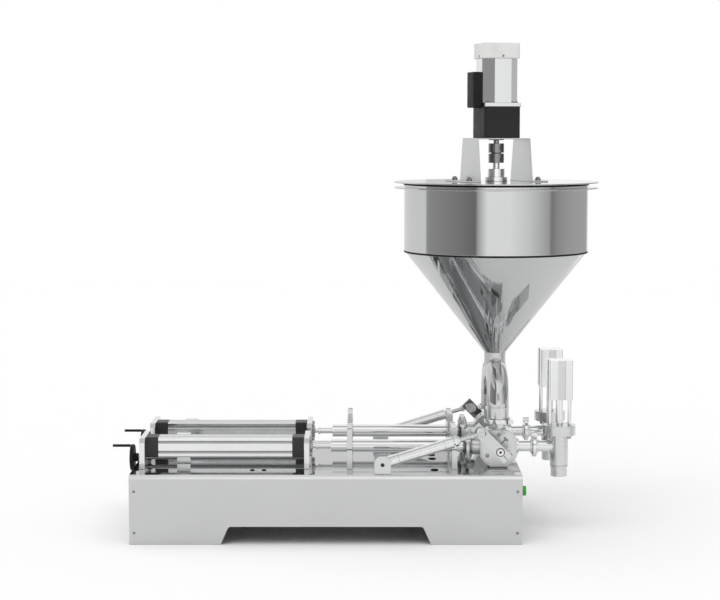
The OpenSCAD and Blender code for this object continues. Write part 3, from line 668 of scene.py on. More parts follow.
def finish_tree(tree, geometry, given, result):
    """Ends a geometry tree: real faces, in the given material."""
    real = node(tree, "GeometryNodeRealizeInstances", {"Geometry": geometry})
    painted = node(tree, "GeometryNodeSetMaterial",
                   {"Geometry": real.outputs[0], "Material": given["Material"]})
    tree.links.new(painted.outputs[0], result["Geometry"])


def circle_curve(tree, steps, radius):
    """A round curve."""
    made = node(tree, "GeometryNodeCurvePrimitiveCircle", {"Resolution": steps, "Radius": radius},
                mode="RADIUS")
    return made.outputs["Curve"]


def cylinder(tree, steps, radius, depth, rows=1):
    """An upright cylinder with its middle at the origin."""
    made = node(tree, "GeometryNodeMeshCylinder", {"Vertices": steps, "Side Segments": rows,
                                                   "Radius": radius, "Depth": depth})
    return made.outputs["Mesh"]


def faced_copies(tree, points, shape):
    """Copies of a shape on points, with its Z axis turned to face each point's way."""
    facing = node(tree, "GeometryNodeInputNamedAttribute", {"Name": "facing"}, data_type="FLOAT_VECTOR")
    turn = node(tree, "FunctionNodeAlignRotationToVector", {"Vector": facing.outputs[0]}, axis="Z")
    copies = node(tree, "GeometryNodeInstanceOnPoints",
                  {"Points": points, "Instance": shape, "Rotation": turn.outputs[0]})
    return copies.outputs[0]


@functools.cache
def screw_tree():
    """A screw with a hexagon socket on every point, its head turned to face the point's way."""
    tree, given, result = geometry_tree("Screws", {
        "Head Diameter": 0.01, "Head Height": 0.005, "Dome": 0.97, "Edge Power": 14.0, "Socket Width": 0.005,
        "Socket Depth": 0.0025, "Steps": 28, "Shank Diameter": 0.006, "Shank Length": 0.01})
    high, deep = given["Head Height"], given["Socket Depth"]
    head = cylinder(tree, given["Steps"], times(tree, given["Head Diameter"], 0.5), high, 10)
    parts = separated(tree, node(tree, "GeometryNodeInputPosition").outputs[0])
    share = math_node(tree, "ADD", math_node(tree, "DIVIDE", parts["Z"], high), 0.5)
    steep = math_node(tree, "POWER", math_node(tree, "SUBTRACT", 1.0, share), 3.0)
    eased = math_node(tree, "SUBTRACT", 1.0, steep)
    risen = math_node(tree, "POWER", times(tree, eased, given["Dome"]), given["Edge Power"])
    narrow = math_node(tree, "SQRT", math_node(tree, "SUBTRACT", 1.0, risen))
    spot = combined(tree, X=times(tree, parts["X"], narrow), Y=times(tree, parts["Y"], narrow),
                    Z=times(tree, eased, high))
    shaped = node(tree, "GeometryNodeSetPosition", {"Geometry": head, "Position": spot})
    # A hexagon's corners are this much of its width across the flats from its middle
    key = cylinder(tree, 6, times(tree, given["Socket Width"], 0.577), times(tree, deep, 2.0))
    moved = node(tree, "GeometryNodeTransform", {"Geometry": key, "Translation": combined(tree, Z=high)})
    cut = node(tree, "GeometryNodeMeshBoolean", {"Mesh 1": shaped.outputs[0], "Mesh 2": moved.outputs[0]},
               operation="DIFFERENCE", solver="EXACT")
    socketed = node(tree, "FunctionNodeCompare", {0: deep, 1: 0.0}, operation="GREATER_THAN",
                    data_type="FLOAT")
    chosen = node(tree, "GeometryNodeSwitch",
                  {"Switch": socketed.outputs[0], "False": shaped.outputs[0], "True": cut.outputs[0]},
                  input_type="GEOMETRY")
    # The shank reaches a little into the head
    lap = 0.3 * MM
    reach = math_node(tree, "ADD", given["Shank Length"], lap)
    shank = cylinder(tree, 16, times(tree, given["Shank Diameter"], 0.5), reach)
    low = combined(tree, Z=math_node(tree, "SUBTRACT", lap, times(tree, reach, 0.5)))
    below = node(tree, "GeometryNodeTransform", {"Geometry": shank, "Translation": low})
    whole = node(tree, "GeometryNodeJoinGeometry")
    tree.links.new(chosen.outputs[0], whole.inputs[0])
    tree.links.new(below.outputs[0], whole.inputs[0])
    finish_tree(tree, faced_copies(tree, given["Geometry"], whole.outputs[0]), given, result)
    return tree


def solids_of(node_name):
    """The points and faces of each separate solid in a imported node."""
    shape = bmesh.new()
    shape.from_mesh(frame["nodes"][node_name].data)
    bmesh.ops.remove_doubles(shape, verts=shape.verts, dist=MERGE)
    left, found = dict.fromkeys(shape.verts), []
    while left:
        solid = [left.popitem()[0]]
        for point in solid:
            for edge in point.link_edges:
                other = edge.other_vert(point)
                if other in left:
                    del left[other]
                    solid.append(other)
        place = {point: i for i, point in enumerate(solid)}
        faces = dict.fromkeys(face for point in solid for face in point.link_faces)
        found.append(([p.co.copy() for p in solid], [[place[v] for v in face.verts] for face in faces]))
    shape.free()
    return found


def screw_of(points):
    """Where a solid screw sits, the way that it faces, and its sizes, read from its points."""
    low = [min(p[i] for p in points) for i in range(3)]
    high = [max(p[i] for p in points) for i in range(3)]
    size = [b - a for a, b in zip(low, high)]
    # Its section is as wide as it is deep
    axis = min(range(3), key=lambda i: abs(size[i - 1] - size[i - 2]))
    seat = Vector((a + b) / 2 for a, b in zip(low, high))

    def away(p):
        return math.hypot(p[axis - 1] - seat[axis - 1], p[axis - 2] - seat[axis - 2])
    wide = max(away(p) for p in points)
    head = [p[axis] for p in points if away(p) > 0.95 * wide]
    up = high[axis] - max(head) <= min(head) - low[axis]
    seat[axis] = min(head) if up else max(head)
    # Heads that face left are sunk in their plates, all but 0.3 mm
    if axis == 0 and not up:
        seat.x += max(head) - min(head) - 0.3 * MM
    tip = high[axis] - min(head) if up else max(head) - low[axis]
    end = low[axis] if up else high[axis]
    slim = max([away(p) for p in points if abs(p[axis] - end) < 0.01 * MM])
    way = Vector((0, 0, 0))
    way[axis] = 1 if up else -1
    return (seat, way), (2 * wide, tip, min(2 * slim, 1.9 * wide), abs(end - seat[axis]))


def screws(name, node_name, slot, finish, body, socket=0.5, deep=0.45, dome=0.97, power=14.0):
    """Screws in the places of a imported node's solids; returns the solids that are wider than a screw."""
    kinds, others = {}, []
    for points, faces in solids_of(node_name):
        place, sizes = screw_of(points)
        if sizes[0] > 15 * MM:
            others.append((points, faces))
        else:
            kinds.setdefault(tuple(round(v, 5) for v in sizes), []).append(place)
    tree, meshes = screw_tree(), []
    for (wide, high, slim, length), places in kinds.items():
        meshes.append(grown(name, point_cloud(name, places), tree, {
            "Head Diameter": wide, "Head Height": high, "Dome": dome, "Edge Power": power,
            "Socket Width": wide * socket, "Socket Depth": high * deep, "Shank Diameter": slim,
            "Shank Length": length, "Material": finishes()[finish]}))
    mesh = joined(name, meshes)
    mesh.materials.append(finishes()[finish])
    new_piece(name, mesh, slot, body, [node_name])
    return others


@functools.cache
def pipe_tree():
    """Hollow pipe along every path, joined where paths meet."""
    tree, given, result = geometry_tree("Pipe", {"Diameter": 0.0508, "Wall": 0.002, "Steps": 96})
    path = node(tree, "GeometryNodeMeshToCurve", {"Mesh": given["Geometry"]}).outputs[0]
    radius = times(tree, given["Diameter"], 0.5)
    bore = math_node(tree, "SUBTRACT", radius, given["Wall"])
    along = node(tree, "GeometryNodeInputTangent").outputs[0]
    longer = path
    for ends, reach in (((1, 0), -0.001), ((0, 1), 0.001)):
        tip = node(tree, "GeometryNodeCurveEndpointSelection",
                   {"Start Size": ends[0], "End Size": ends[1]})
        out = node(tree, "ShaderNodeVectorMath", {0: along, "Scale": reach}, operation="SCALE")
        moved = node(tree, "GeometryNodeSetPosition",
                     {"Geometry": longer, "Selection": tip.outputs[0], "Offset": out.outputs[0]})
        longer = moved.outputs[0]
    solids = []
    for line, size in ((path, radius), (longer, bore)):
        ring = circle_curve(tree, given["Steps"], size)
        swept = node(tree, "GeometryNodeCurveToMesh",
                     {"Curve": line, "Profile Curve": ring, "Fill Caps": True})
        solids.append(swept.outputs[0])
    hollow = node(tree, "GeometryNodeMeshBoolean",
                  {"Mesh 1": solids[0], "Mesh 2": solids[1], "Self Intersection": True},
                  operation="DIFFERENCE", solver="EXACT")
    finish_tree(tree, hollow.outputs[0], given, result)
    return tree


@functools.cache
def bead_tree():
    """A weld bead round the pipe on every point, across the way that the point faces."""
    tree, given, result = geometry_tree("Weld Beads", {"Diameter": 0.0508, "Height": 0.0006, "Steps": 96})
    ring = circle_curve(tree, given["Steps"], times(tree, given["Diameter"], 0.5))
    bead = circle_curve(tree, 10, given["Height"])
    torus = node(tree, "GeometryNodeCurveToMesh", {"Curve": ring, "Profile Curve": bead})
    finish_tree(tree, faced_copies(tree, given["Geometry"], torus.outputs[0]), given, result)
    return tree


@functools.cache
def thread_tree():
    """A threaded rod along X, from the origin, with its ridges on a helix."""
    tree, given, result = geometry_tree("Thread", {"Diameter": 0.01, "Length": 0.4, "Pitch": 0.004,
                                                   "Depth": 0.0009})
    length, pitch = given["Length"], given["Pitch"]
    rows = node(tree, "FunctionNodeFloatToInt",
                {0: times(tree, math_node(tree, "DIVIDE", length, pitch), 8.0)})
    rod = cylinder(tree, 24, times(tree, given["Diameter"], 0.5), length, rows.outputs[0])
    at = separated(tree, node(tree, "GeometryNodeInputPosition").outputs[0])
    turn = math_node(tree, "DIVIDE", math_node(tree, "ARCTAN2", at["Y"], at["X"]), 2 * math.pi)
    climb = math_node(tree, "ADD", math_node(tree, "DIVIDE", at["Z"], pitch), turn)
    wave = math_node(tree, "PINGPONG", climb, 0.5)
    cut = times(tree, times(tree, wave, 2.0), given["Depth"])
    squares = math_node(tree, "ADD", times(tree, at["X"], at["X"]), times(tree, at["Y"], at["Y"]))
    outside = math_node(tree, "MAXIMUM", math_node(tree, "SQRT", squares), 0.0001)
    share = math_node(tree, "SUBTRACT", 1.0, math_node(tree, "DIVIDE", cut, outside))
    spot = combined(tree, X=math_node(tree, "ADD", at["Z"], times(tree, length, 0.5)),
                    Y=times(tree, at["Y"], share), Z=times(tree, times(tree, at["X"], share), -1.0))
    shaped = node(tree, "GeometryNodeSetPosition", {"Geometry": rod, "Position": spot})
    copies = node(tree, "GeometryNodeInstanceOnPoints",
                  {"Points": given["Geometry"], "Instance": shaped.outputs[0]})
    finish_tree(tree, copies.outputs[0], given, result)
    return tree


class FILLER_OT_stage(bpy.types.Operator):
    """Make the camera, floor, lamps and reflected cards"""

    bl_idname = "filler.stage"
    bl_label = "Stage"

    def execute(self, context):
        stage = context.scene.filler_stage
        self.camera(context, stage)
        self.world(context, stage)
        self.floor(stage)
        self.lamps(stage)
        self.cards(stage)
        context.scene.view_settings.view_transform = "Standard"
        return {"FINISHED"}

    def camera(self, context, stage):
        data = bpy.data.cameras.new("camera")
        data.sensor_width = 36.0
        data.lens = stage.camera_lens
        camera = new_object("camera", data)
        camera.location = stage.camera_place
        camera.rotation_euler = (math.pi / 2 - stage.camera_tilt, 0, stage.camera_turn)
        context.scene.camera = camera

    def world(self, context, stage):
        """Plain light on the object, white behind it, and soft boxes for metal to show."""
        world = bpy.data.worlds.new("studio")
        world.use_nodes = True
        context.scene.world = world
        tree = world.node_tree
        tree.nodes.clear()
        path = node(tree, "ShaderNodeLightPath")
        plain = node(tree, "ShaderNodeBackground", {"Color": (1, 1, 1, 1), "Strength": stage.ambient})
        white = node(tree, "ShaderNodeBackground", {"Color": (1, 1, 1, 1), "Strength": 1.0})
        boxes = node(tree, "ShaderNodeBackground", {"Color": self.soft_boxes(tree), "Strength": 1.0})
        seen = math_node(tree, "MAXIMUM", path.outputs["Is Camera Ray"], path.outputs["Is Transmission Ray"])
        behind = node(tree, "ShaderNodeMixShader", {0: seen, 1: plain.outputs[0], 2: white.outputs[0]})
        mixed = node(tree, "ShaderNodeMixShader",
                     {0: path.outputs["Is Glossy Ray"], 1: behind.outputs[0], 2: boxes.outputs[0]})
        node(tree, "ShaderNodeOutputWorld", {"Surface": mixed.outputs[0]})

    def soft_boxes(self, tree):
        """Levels along an arc from the front over the top to the back, plain at both ends."""
        way = separated(tree, node(tree, "ShaderNodeTexCoord").outputs["Generated"])
        turn = math_node(tree, "ARCTAN2", way["Z"], times(tree, way["Y"], -1.0))
        share = math_node(tree, "DIVIDE", turn, math.pi)
        arc = self.ramp(tree, share, [(degrees / 180, level) for degrees, level in SOFT_BOXES])
        aside = math_node(tree, "ABSOLUTE", way["X"])
        end = ranged(tree, aside, 0.45, 0.85, interpolation_type="SMOOTHSTEP")
        levels = mix_colours(tree, end, arc, (0.94, 0.94, 0.94, 1))
        across = math_node(tree, "ADD", times(tree, way["X"], 0.5), 0.5)
        sides = self.ramp(tree, across, [(x / 2 + 0.5, level) for x, level in SIDE_SHARE])
        # The sides count neither near the floor, nor straight above, nor behind
        upright = times(tree, ranged(tree, way["Z"], 0.08, 0.20), ranged(tree, way["Z"], 0.90, 0.80))
        part = times(tree, upright, ranged(tree, way["Y"], 0.6, 0.3))
        return mix_colours(tree, part, levels, sides, "MULTIPLY")

    def ramp(self, tree, factor, levels):
        """A colour ramp of grey levels, each at its place from 0 to 1."""
        made = node(tree, "ShaderNodeValToRGB", {"Fac": factor})
        stops = made.color_ramp.elements
        for place, level in levels:
            stop = stops.new(place)
            stop.color = (level, level, level, 1)
        stops.remove(stops[0])
        stops.remove(stops[-1])
        return made.outputs["Color"]

    def floor(self, stage):
        material, tree, shader = new_material("floor")
        shader.inputs["Roughness"].default_value = 0.9
        shader.inputs["Specular IOR Level"].default_value = 0.0
        path = node(tree, "ShaderNodeLightPath")
        glossy = mix_colours(tree, path.outputs["Is Glossy Ray"], opaque(stage.floor_colour),
                             opaque((stage.floor_mirrored,) * 3))
        seen = mix_colours(tree, path.outputs["Is Camera Ray"], glossy, opaque((stage.floor_seen,) * 3))
        tree.links.new(seen, shader.inputs["Base Color"])
        shape = bmesh.new()
        bmesh.ops.create_circle(shape, cap_ends=True, segments=96, radius=stage.floor_radius)
        mesh = plain_mesh(shape, "floor")
        mesh.materials.append(material)
        new_object("floor", mesh)

    def lamps(self, stage):
        for name, (tilt, turn, spread, share) in LAMPS.items():
            data = bpy.data.lights.new(name, "SUN")
            data.angle = math.radians(spread)
            data.energy = stage.lamp_power * share / math.cos(math.radians(tilt))
            lamp = new_object(name, data)
            lamp.rotation_euler = (math.radians(tilt), 0, math.radians(turn))
            lamp.visible_glossy = False

    def cards(self, stage):
        for name, (radius, low, high, levels) in CARDS.items():
            card = self.card(name, radius, low, high, levels, stage.card_level)
            for ray in ("camera", "diffuse", "transmission", "shadow", "volume_scatter"):
                setattr(card, "visible_" + ray, False)

    def card(self, name, radius, low, high, levels, share):
        """A curved card round the hopper, between the first and the last angle of its levels."""
        start, end = levels[0][0], levels[-1][0]
        points, faces = [], []
        for i in range(CARD_STEPS + 1):
            angle = math.radians(start + (end - start) * i / CARD_STEPS)
            x, y = HOPPER.x + radius * math.sin(angle), -radius * math.cos(angle)
            points += [(x, y, low), (x, y, high)]
            if i:
                faces.append((2 * i - 2, 2 * i, 2 * i + 1, 2 * i - 1))
        mesh = bpy.data.meshes.new(name)
        mesh.from_pydata(points, [], faces)
        material, tree, shader = new_material(name)
        tree.nodes.remove(shader)
        place = node(tree, "ShaderNodeTexCoord")
        centred = node(tree, "ShaderNodeMapping",
                       {"Vector": place.outputs["Object"], "Location": (-HOPPER.x, 0, 0)})
        way = separated(tree, centred.outputs[0])
        turn = math_node(tree, "ARCTAN2", way["X"], times(tree, way["Y"], -1.0))
        along = ranged(tree, turn, math.radians(start), math.radians(end))
        greys = self.ramp(tree, along,
                          [((degrees - start) / (end - start), level) for degrees, level in levels])
        plain = node(tree, "ShaderNodeEmission", {"Color": greys, "Strength": share})
        tree.links.new(plain.outputs[0], tree.nodes["Material Output"].inputs["Surface"])
        mesh.materials.append(material)
        return new_object(name, mesh)


class FILLER_OT_base(bpy.types.Operator):
    """Finish the folded base: a mirror deck, satin panels and end panels"""

    bl_idname = "filler.base"
    bl_label = "Base"

    def execute(self, context):
        cover = dress("base_cover", context.scene.filler_piece.edge)
        # The flat deck, and the rounds of the bends along its edges, which are lighter as a painted
        # highlight
        marked(cover, "deck_steel", lambda c, n: n.z > 0.97 and c.z > DECK - MM)
        marked(cover, "bend_steel", lambda c, n: 0.04 < n.z <= 0.97 and c.z > DECK - 12 * MM)
        dress("side_panels", context.scene.filler_piece.edge)
        plugs = []
        for x, y, size in self.holes():
            stem, rim, foot, seat = size - 0.2 * MM, size + MM, DECK - 4 * MM, DECK + 0.02 * MM
            plug = [(0, foot), (stem, foot), (stem, seat), (rim, seat), (rim, DECK + MM),
                    (size - MM, DECK + 2 * MM), (0, DECK + 2 * MM)]
            plugs.append(turned("plug", plug, Matrix.Translation((x, y, 0)), 32))
        new_piece("deck_plugs", joined("deck_plugs", plugs), "black_rubber", "base")
        return {"FINISHED"}

    def holes(self):
        """Places and radii of the holes for hoses and wires in the deck."""
        hoses = HOPPER.x - 150.5 * MM
        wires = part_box("drive_barrels")[0].x + 222.2 * MM
        places = ((hoses, 26.5 * MM, 8 * MM), (hoses, 172.5 * MM, 8 * MM),
                  (wires, 175.5 * MM, 4.5 * MM), (wires + 27 * MM, 175.5 * MM, 4.5 * MM))
        return [(x, s * y, radius) for s in (-1, 1) for x, y, radius in places]


class FILLER_OT_drives(bpy.types.Operator):
    """Finish the drive cylinders, their plates, guides, carriages and rods"""

    bl_idname = "filler.drives"
    bl_label = "Drive Cylinders"

    def execute(self, context):
        edge = context.scene.filler_piece.edge
        for name in ("handwheel_plates", "drive_plates"):
            dress(name, edge * 1.6, 3, finish="aluminium")
        dress("carriage_guides")
        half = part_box("drive_barrels")[1].z - AXIS_Z

        def in_groove(c, n):
            # Below the barrel's faces and away from its corners
            across = sorted((abs(abs(c.y) - HEAD), abs(c.z - AXIS_Z)))
            return across[1] < half - 0.25 * MM and across[0] < half - 5 * MM and abs(n.x) < 0.5
        # The faces in the barrels' grooves get the darker screw steel, as painted shade in the grooves
        marked(dress("drive_barrels"), "screw_steel", in_groove)
        dress("drive_end_caps", edge)
        for side, _ in SIDES:
            dress("switch_carriage_" + side, edge)
            dress("drive_rod_" + side)
            dress("handwheel_" + side)
            dress("crank_grip_" + side, edge)
            self.lead_screw(side, context.scene.filler_piece)
        return {"FINISHED"}

    def lead_screw(self, side, sizes):
        """A threaded screw with its collar behind the handwheel plate."""
        name = "lead_screw_" + side
        low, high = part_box(name)
        centre = (low + high) / 2
        rod = grown(name, point_cloud(name, [((low.x, centre.y, centre.z), (1, 0, 0))]), thread_tree(),
                    {"Diameter": SCREW_DIAMETER, "Length": high.x - low.x, "Pitch": sizes.thread_pitch,
                     "Depth": sizes.thread_depth, "Material": finishes()["screw_steel"]})
        new_piece(name + "_thread", rod, "screw_steel", body_of(name), [name])
        start = min(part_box("handwheel_plates")[1].x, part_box("drive_end_caps")[0].x) + 0.3 * MM
        outline = ring_outline(SCREW_DIAMETER / 2 - MM, high.y - centre.y, 0, 5.7 * MM)
        place = Matrix.Translation((start, centre.y, centre.z)) @ Matrix.Rotation(math.pi / 2, 4, "Y")
        new_piece(name + "_collar", turned("collar", rounded(outline, 0.5 * MM), place, 48),
                  "screw_steel", body_of(name))


class FILLER_OT_product(bpy.types.Operator):
    """Finish the product tubes, pistons, tube clamps and union nuts"""

    bl_idname = "filler.product"
    bl_label = "Product Tubes"

    def execute(self, context):
        edge = context.scene.filler_piece.edge
        dress("product_tubes")
        # The faces in the split between bases and caps get dark steel, painted shade in the joint
        for name in ("tube_clamp_bases", "tube_clamp_caps"):
            marked(dress(name, edge), "dark_steel",
                   lambda c, n: abs(n.z) > 0.9 and abs(c.z - AXIS_Z) < 1.6 * MM)
        dress("union_nuts", edge)
        for side, _ in SIDES:
            dress("product_piston_" + side)
        return {"FINISHED"}


class FILLER_OT_valves(bpy.types.Operator):
    """Finish the valves with their levers and actuators"""

    bl_idname = "filler.valves"
    bl_label = "Valves"

    def execute(self, context):
        edge = context.scene.filler_piece.edge
        # Their undersides get dark steel, painted shade that the mirror deck shows as a dark line below them
        marked(dress("valve_bodies"), "dark_steel", lambda c, n: n.z < -0.9 and c.z < AXIS_Z - 30 * MM)
        dress("valve_covers", edge)
        dress("actuator_brackets", edge)
        dress("pipe_clamps", edge, finish="polished_steel")
        pins = []
        pivot = middle("actuator_brackets").x
        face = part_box("actuator_brackets")[1].y
        for side, s in SIDES:
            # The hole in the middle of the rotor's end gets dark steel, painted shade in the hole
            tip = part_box("valve_rotor_" + side)[s > 0].y
            marked(dress("valve_rotor_" + side), "dark_steel",
                   lambda c, n: math.hypot(c.x - HOPPER.x, c.z - AXIS_Z) < 3.2 * MM
                   and 0.3 * MM < abs(c.y - tip) < 5 * MM)
            dress("actuator_body_" + side, finish="aluminium")
            dress("actuator_rod_" + side, finish="machined_steel")
            self.lever(side, s, edge)
            pins.append(((pivot, s * face, DECK + 21.4 * MM), (0, s, 0)))
        mesh = grown("actuator_pins", point_cloud("pins", pins), screw_tree(), {
            "Head Diameter": 9 * MM, "Head Height": 1.2 * MM, "Socket Width": 3.5 * MM,
            "Socket Depth": 0.8 * MM, "Shank Length": 2 * MM, "Material": finishes()["dark_steel"]})
        new_piece("actuator_pins", mesh, "dark_steel", "base")
        return {"FINISHED"}

    def lever(self, side, s, edge):
        """A lever with painted shade in its sunk ring, a painted dark reflection on its upper edge, and the
        bar of its clamp screw.
        """
        hub = Vector((HOPPER.x, 0, AXIS_Z))
        low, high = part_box("valve_lever_" + side)
        outer = high.y if s > 0 else low.y
        along, across = Vector((-1, 0, 1)).normalized(), Vector((1, 0, 1)).normalized()

        def shaded(c, n):
            # Painted dark: the lever's upper edge, as a dark reflection, and the sunk ring round the rotor's
            # end, as shade
            reach = c - hub
            sunk = math.hypot(reach.x, reach.z) < 10.2 * MM and abs(c.y - outer) < 2 * MM
            return n.dot(across) > 0.8 or (sunk and abs(c.y - outer) > 0.3 * MM)
        lever = marked(dress("valve_lever_" + side, edge), "dark_steel", shaded)
        # The rear lever's inner face gets the darker bolt steel, as painted shade
        if s > 0:
            marked(lever, "bolt_steel", lambda c, n: n.y < -0.9)
        stem = ring_outline(0, 2 * MM, 13 * MM, 29 * MM)
        bar = ring_outline(0, 2.5 * MM, -6 * MM, 6 * MM)
        start = hub + along * 12 * MM + Vector((0, (low.y + high.y) / 2, 0))
        mesh = joined("lever_toggle_" + side, [
            turned("stem", stem, pointed(start, across), 24),
            turned("bar", rounded(bar, MM), pointed(start + across * 30 * MM, along), 24)])
        mesh.materials.append(finishes()["bolt_steel"])
        new_piece("lever_toggle_" + side, mesh, "dark_steel", body_of("valve_lever_" + side))


class FILLER_OT_nozzles(bpy.types.Operator):
    """Finish the outlet pipes and the lifting nozzles"""

    bl_idname = "filler.nozzles"
    bl_label = "Nozzles"

    def execute(self, context):
        edge = context.scene.filler_piece.edge
        dress("outlet_pipes")
        dress("nozzle_bodies", edge, finish="machined_steel")
        self.cylinders(edge)
        dress("nozzle_tie_rods")
        for side, _ in SIDES:
            dress("nozzle_plunger_" + side)
        return {"FINISHED"}

    def cylinders(self, edge):
        """The square lifting cylinders, each turned on its own axis to face a little to the right."""
        piece = dress("nozzle_cylinders", edge)
        centre = middle("nozzle_tie_rods").x
        for s in (-1, 1):
            axis = Vector((centre, s * HEAD, 0))
            turn = Matrix.Rotation(CYLINDER_TURN, 3, "Z")
            for point in piece.data.vertices:
                if s * point.co.y > 0:
                    point.co = axis + turn @ (point.co - axis)
        # Just inside the cylinders' faces, and half the width of their grooves
        face, groove = 26.8 * MM, 9.2 * MM

        def from_axis(c):
            return Vector((c.x - centre, c.y - math.copysign(HEAD, c.y), 0))

        def grooved(c, n):
            across = sorted(abs(v) for v in Matrix.Rotation(-CYLINDER_FACING, 2) @ from_axis(c).xy)
            return abs(n.z) < 0.3 and across[1] < face and across[0] < groove

        def facing_out(c, n):
            return from_axis(c).normalized().dot(n) > 0.7
        # The grooves get the darker machined steel and their side walls the darker screw steel, as painted
        # shade in the grooves
        marked(piece, "machined_steel", grooved)
        marked(piece, "screw_steel", lambda c, n: grooved(c, n) and not facing_out(c, n))


class FILLER_OT_hopper(bpy.types.Operator):
    """Turn the hopper's wall, cone, seals and lid with rounded rims"""

    bl_idname = "filler.hopper"
    bl_label = "Hopper"

    def execute(self, context):
        rim = context.scene.filler_piece.rim
        place = Matrix.Translation((HOPPER.x, HOPPER.y, 0))
        self.ring("hopper_cylinder", HOPPER_WALL, rim, place)
        self.ring("hopper_flange", radius_of("hopper_flange") - radius_of("hopper_cylinder"), rim, place)
        low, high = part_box("hopper_cone")
        wide = radius_of("hopper_cone")
        self.shell("hopper_cone", [(PIPE_RADIUS - PIPE_WALL, low.z), (PIPE_RADIUS, low.z), (wide, high.z),
                                   (wide - CONE_WALL, high.z)], rim, place)
        self.seals(rim, place)
        dress("lid", rim, 3)
        return {"FINISHED"}

    def seals(self, rim, place):
        """A bead between the cone and the wall, and a trim pushed over the wall's rim."""
        low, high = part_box("hopper_seals")
        foot, top = (corner.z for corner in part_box("hopper_cylinder"))
        radius = radius_of("hopper_cylinder")
        bead = ring_outline(radius - 5 * MM, radius + 0.4 * MM, low.z, foot)
        inside, outer, back, skirt = radius - HOPPER_WALL, radius + 1.8 * MM, radius - 3.8 * MM, top - 3 * MM
        trim = [(radius, skirt), (outer, skirt), (outer, high.z), (back, high.z), (back, skirt),
                (inside, skirt), (inside, top), (radius, top)]
        mesh = joined("hopper_seal_rings", [turned("bead", rounded(bead, rim), place),
                                            turned("trim", rounded(trim, rim * 0.6), place)])
        new_piece("hopper_seal_rings", mesh, "black_rubber", "base", ["hopper_seals"])

    def ring(self, packed, depth, rim, place):
        """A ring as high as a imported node, and as deep as given from its outside."""
        low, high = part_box(packed)
        radius = radius_of(packed)
        self.shell(packed, ring_outline(radius - depth, radius, low.z, high.z), rim, place)

    def shell(self, packed, outline, rim, place):
        """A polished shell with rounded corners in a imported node's place."""
        mesh = flat_shading(turned(packed + "_shell", rounded(outline, rim), place))
        new_piece(packed + "_shell", mesh, "mirror_steel", "base", [packed])


class FILLER_OT_manifold(bpy.types.Operator):
    """Finish the pipe arch that feeds both valves"""

    bl_idname = "filler.manifold"
    bl_label = "Manifold"

    def execute(self, context):
        sizes = context.scene.filler_piece
        low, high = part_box("manifold")
        reach = (high.y - low.y) / 2 - FERRULE_RADIUS
        bend = sizes.elbow_ratio * 2 * PIPE_RADIUS
        top = high.z - NECK
        paths = [self.arch(reach, bend, low.z, top), [(HOPPER.x, 0, top), (HOPPER.x, 0, high.z)]]
        pipe = grown("manifold_pipe", path_mesh("path", paths), pipe_tree(),
                     {"Diameter": 2 * PIPE_RADIUS, "Wall": PIPE_WALL, "Steps": PIPE_STEPS,
                      "Material": finishes()["mirror_steel"]})
        pipe.materials.clear()
        for finish in ("mirror_steel", "machined_steel"):
            pipe.materials.append(finishes()[finish])
        for face in pipe.polygons:
            z = face.center.z
            face.material_index = 1 if z < top - bend or z > top + PIPE_RADIUS * 0.96 else 0
        pipe = flat_shading(pipe)
        pipe.name = "manifold_pipe"
        new_piece("manifold_pipe", pipe, "mirror_steel", "base", ["manifold"])
        welds = []
        for s in (-1, 1):
            welds += [((HOPPER.x, s * reach, top - bend), (0, 0, 1)),
                      ((HOPPER.x, s * (reach - bend), top), (0, 1, 0))]
        beads = grown("manifold_welds", point_cloud("welds", welds), bead_tree(),
                      {"Diameter": 2 * PIPE_RADIUS, "Height": sizes.bead, "Steps": PIPE_STEPS,
                       "Material": finishes()["machined_steel"]})
        new_piece("manifold_welds", beads, "machined_steel", "base")
        inside = PIPE_RADIUS - PIPE_WALL
        ferrule = [(inside, low.z), (FERRULE_RADIUS, low.z), (FERRULE_RADIUS, low.z + 1.2 * MM),
                   (PIPE_RADIUS, low.z + 3 * MM), (inside, low.z + 3 * MM)]
        for side, s in SIDES:
            place = Matrix.Translation((HOPPER.x, s * reach, 0))
            mesh = turned("ferrule", rounded(ferrule, 0.4 * MM), place, PIPE_STEPS)
            new_piece("manifold_ferrule_" + side, mesh, "machined_steel", "base")
        return {"FINISHED"}

    def arch(self, reach, bend, low, top):
        """Points up one leg, over and down the other."""
        half = [(HOPPER.x, -reach, low)]
        for i in range(BEND_STEPS + 1):
            turn = math.pi / 2 * i / BEND_STEPS
            half.append((HOPPER.x, -reach + bend * (1 - math.cos(turn)), top - bend + bend * math.sin(turn)))
        return half + [(x, -y, z) for x, y, z in reversed(half)]


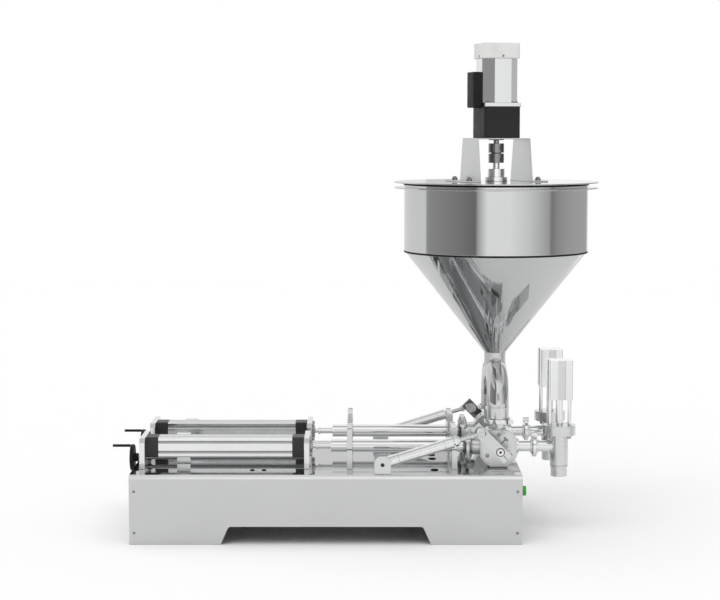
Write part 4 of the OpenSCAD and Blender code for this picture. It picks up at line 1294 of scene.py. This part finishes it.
class FILLER_OT_stirrer(bpy.types.Operator):
    """Finish the stirrer and its geared motor"""

    bl_idname = "filler.stirrer"
    bl_label = "Stirrer Drive"

    def execute(self, context):
        edge = context.scene.filler_piece.edge
        dress("motor_bracket", edge, finish="satin_steel")
        dress("bearing_housing", edge, finish="polished_steel")
        # Where the gearbox's black housing meets its bright flange plate
        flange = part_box("motor_body")[0].z - 9.4 * MM
        marked(dress("gearbox", edge * 2, 3, cut=flange), "aluminium", lambda c, n: c.z > flange)
        dress("motor_body", edge)
        self.cap_screws(dress("motor_cap", edge * 5, 4))
        dress("terminal_box", edge * 6, 4)
        dress("shaft_coupling", edge, finish="bolt_steel")
        dress("agitator", edge)
        return {"FINISHED"}

    def cap_screws(self, cap):
        """Small screws low on the cap's four sides."""
        sides = sorted(cap.data.polygons, key=lambda face: face.area * (abs(face.normal.z) < 0.1))[-4:]
        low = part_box("motor_cap")[0].z + 6 * MM
        places = [((face.center.x, face.center.y, low), face.normal[:]) for face in sides]
        mesh = grown("cap_screws", point_cloud("places", places), screw_tree(), {
            "Head Diameter": 5.5 * MM, "Head Height": 0.5 * MM, "Socket Width": 2.4 * MM,
            "Socket Depth": 0.3 * MM, "Shank Diameter": 3 * MM, "Shank Length": 2 * MM,
            "Material": finishes()["bolt_steel"]})
        new_piece("cap_screws", mesh, "dark_steel", "base")


class FILLER_OT_fasteners(bpy.types.Operator):
    """Finish the screws, rivets, bolts and the push button"""

    bl_idname = "filler.fasteners"
    bl_label = "Fasteners and Button"

    def execute(self, context):
        edge = context.scene.filler_piece.edge
        others = screws("steel_screws", "machine_screws", "screw_steel", "screw_steel", "base")
        nuts = []
        for points, faces in others:
            mesh = bpy.data.meshes.new("gland")
            mesh.from_pydata(points, [], faces)
            nuts.append(mesh)
        glands = broken_edges(joined("rod_glands", nuts), edge)
        new_piece("rod_glands", flat_shading(glands), "screw_steel", "base")
        screws("dark_bolts", "lid_bolts", "dark_steel", "bolt_steel", "base",
               socket=0.0, deep=0.0, dome=0.98, power=2.4)
        dress("base_rivets", finish="bolt_steel")
        dress("button_bezel", edge)
        dress("button_cap", edge * 2, 3)
        return {"FINISHED"}


STEPS = (FILLER_OT_stage, FILLER_OT_base, FILLER_OT_drives, FILLER_OT_product, FILLER_OT_valves,
         FILLER_OT_nozzles, FILLER_OT_hopper, FILLER_OT_manifold, FILLER_OT_stirrer,
         FILLER_OT_fasteners)


class FILLER_PT_panel(bpy.types.Panel):
    """Lists the filler's settings and pieces"""

    bl_label = "Bench Piston Filler"
    bl_idname = "FILLER_PT_panel"
    bl_space_type = "VIEW_3D"
    bl_region_type = "UI"
    bl_category = "Filler"

    def draw(self, context):
        for name in ("filler_stage", "filler_finish", "filler_piece"):
            settings = getattr(context.scene, name)
            column = self.layout.column(align=True)
            for key in settings.bl_rna.properties.keys():
                if key not in ("rna_type", "name"):
                    column.prop(settings, key)
        for step in STEPS:
            self.layout.operator(step.bl_idname)


CLASSES = (StageSettings, FinishSettings, PieceSettings, *STEPS, FILLER_PT_panel)


def register():
    for item in CLASSES:
        bpy.utils.register_class(item)
    bpy.types.Scene.filler_stage = PointerProperty(type=StageSettings)
    bpy.types.Scene.filler_finish = PointerProperty(type=FinishSettings)
    bpy.types.Scene.filler_piece = PointerProperty(type=PieceSettings)


def unregister():
    del bpy.types.Scene.filler_piece
    del bpy.types.Scene.filler_finish
    del bpy.types.Scene.filler_stage
    for item in reversed(CLASSES):
        bpy.utils.unregister_class(item)


def main():
    """Builds the whole scene."""
    register()
    for step in STEPS:
        area, name = step.bl_idname.split(".")
        getattr(getattr(bpy.ops, area), name)()


if __name__ == "__main__":
    main()
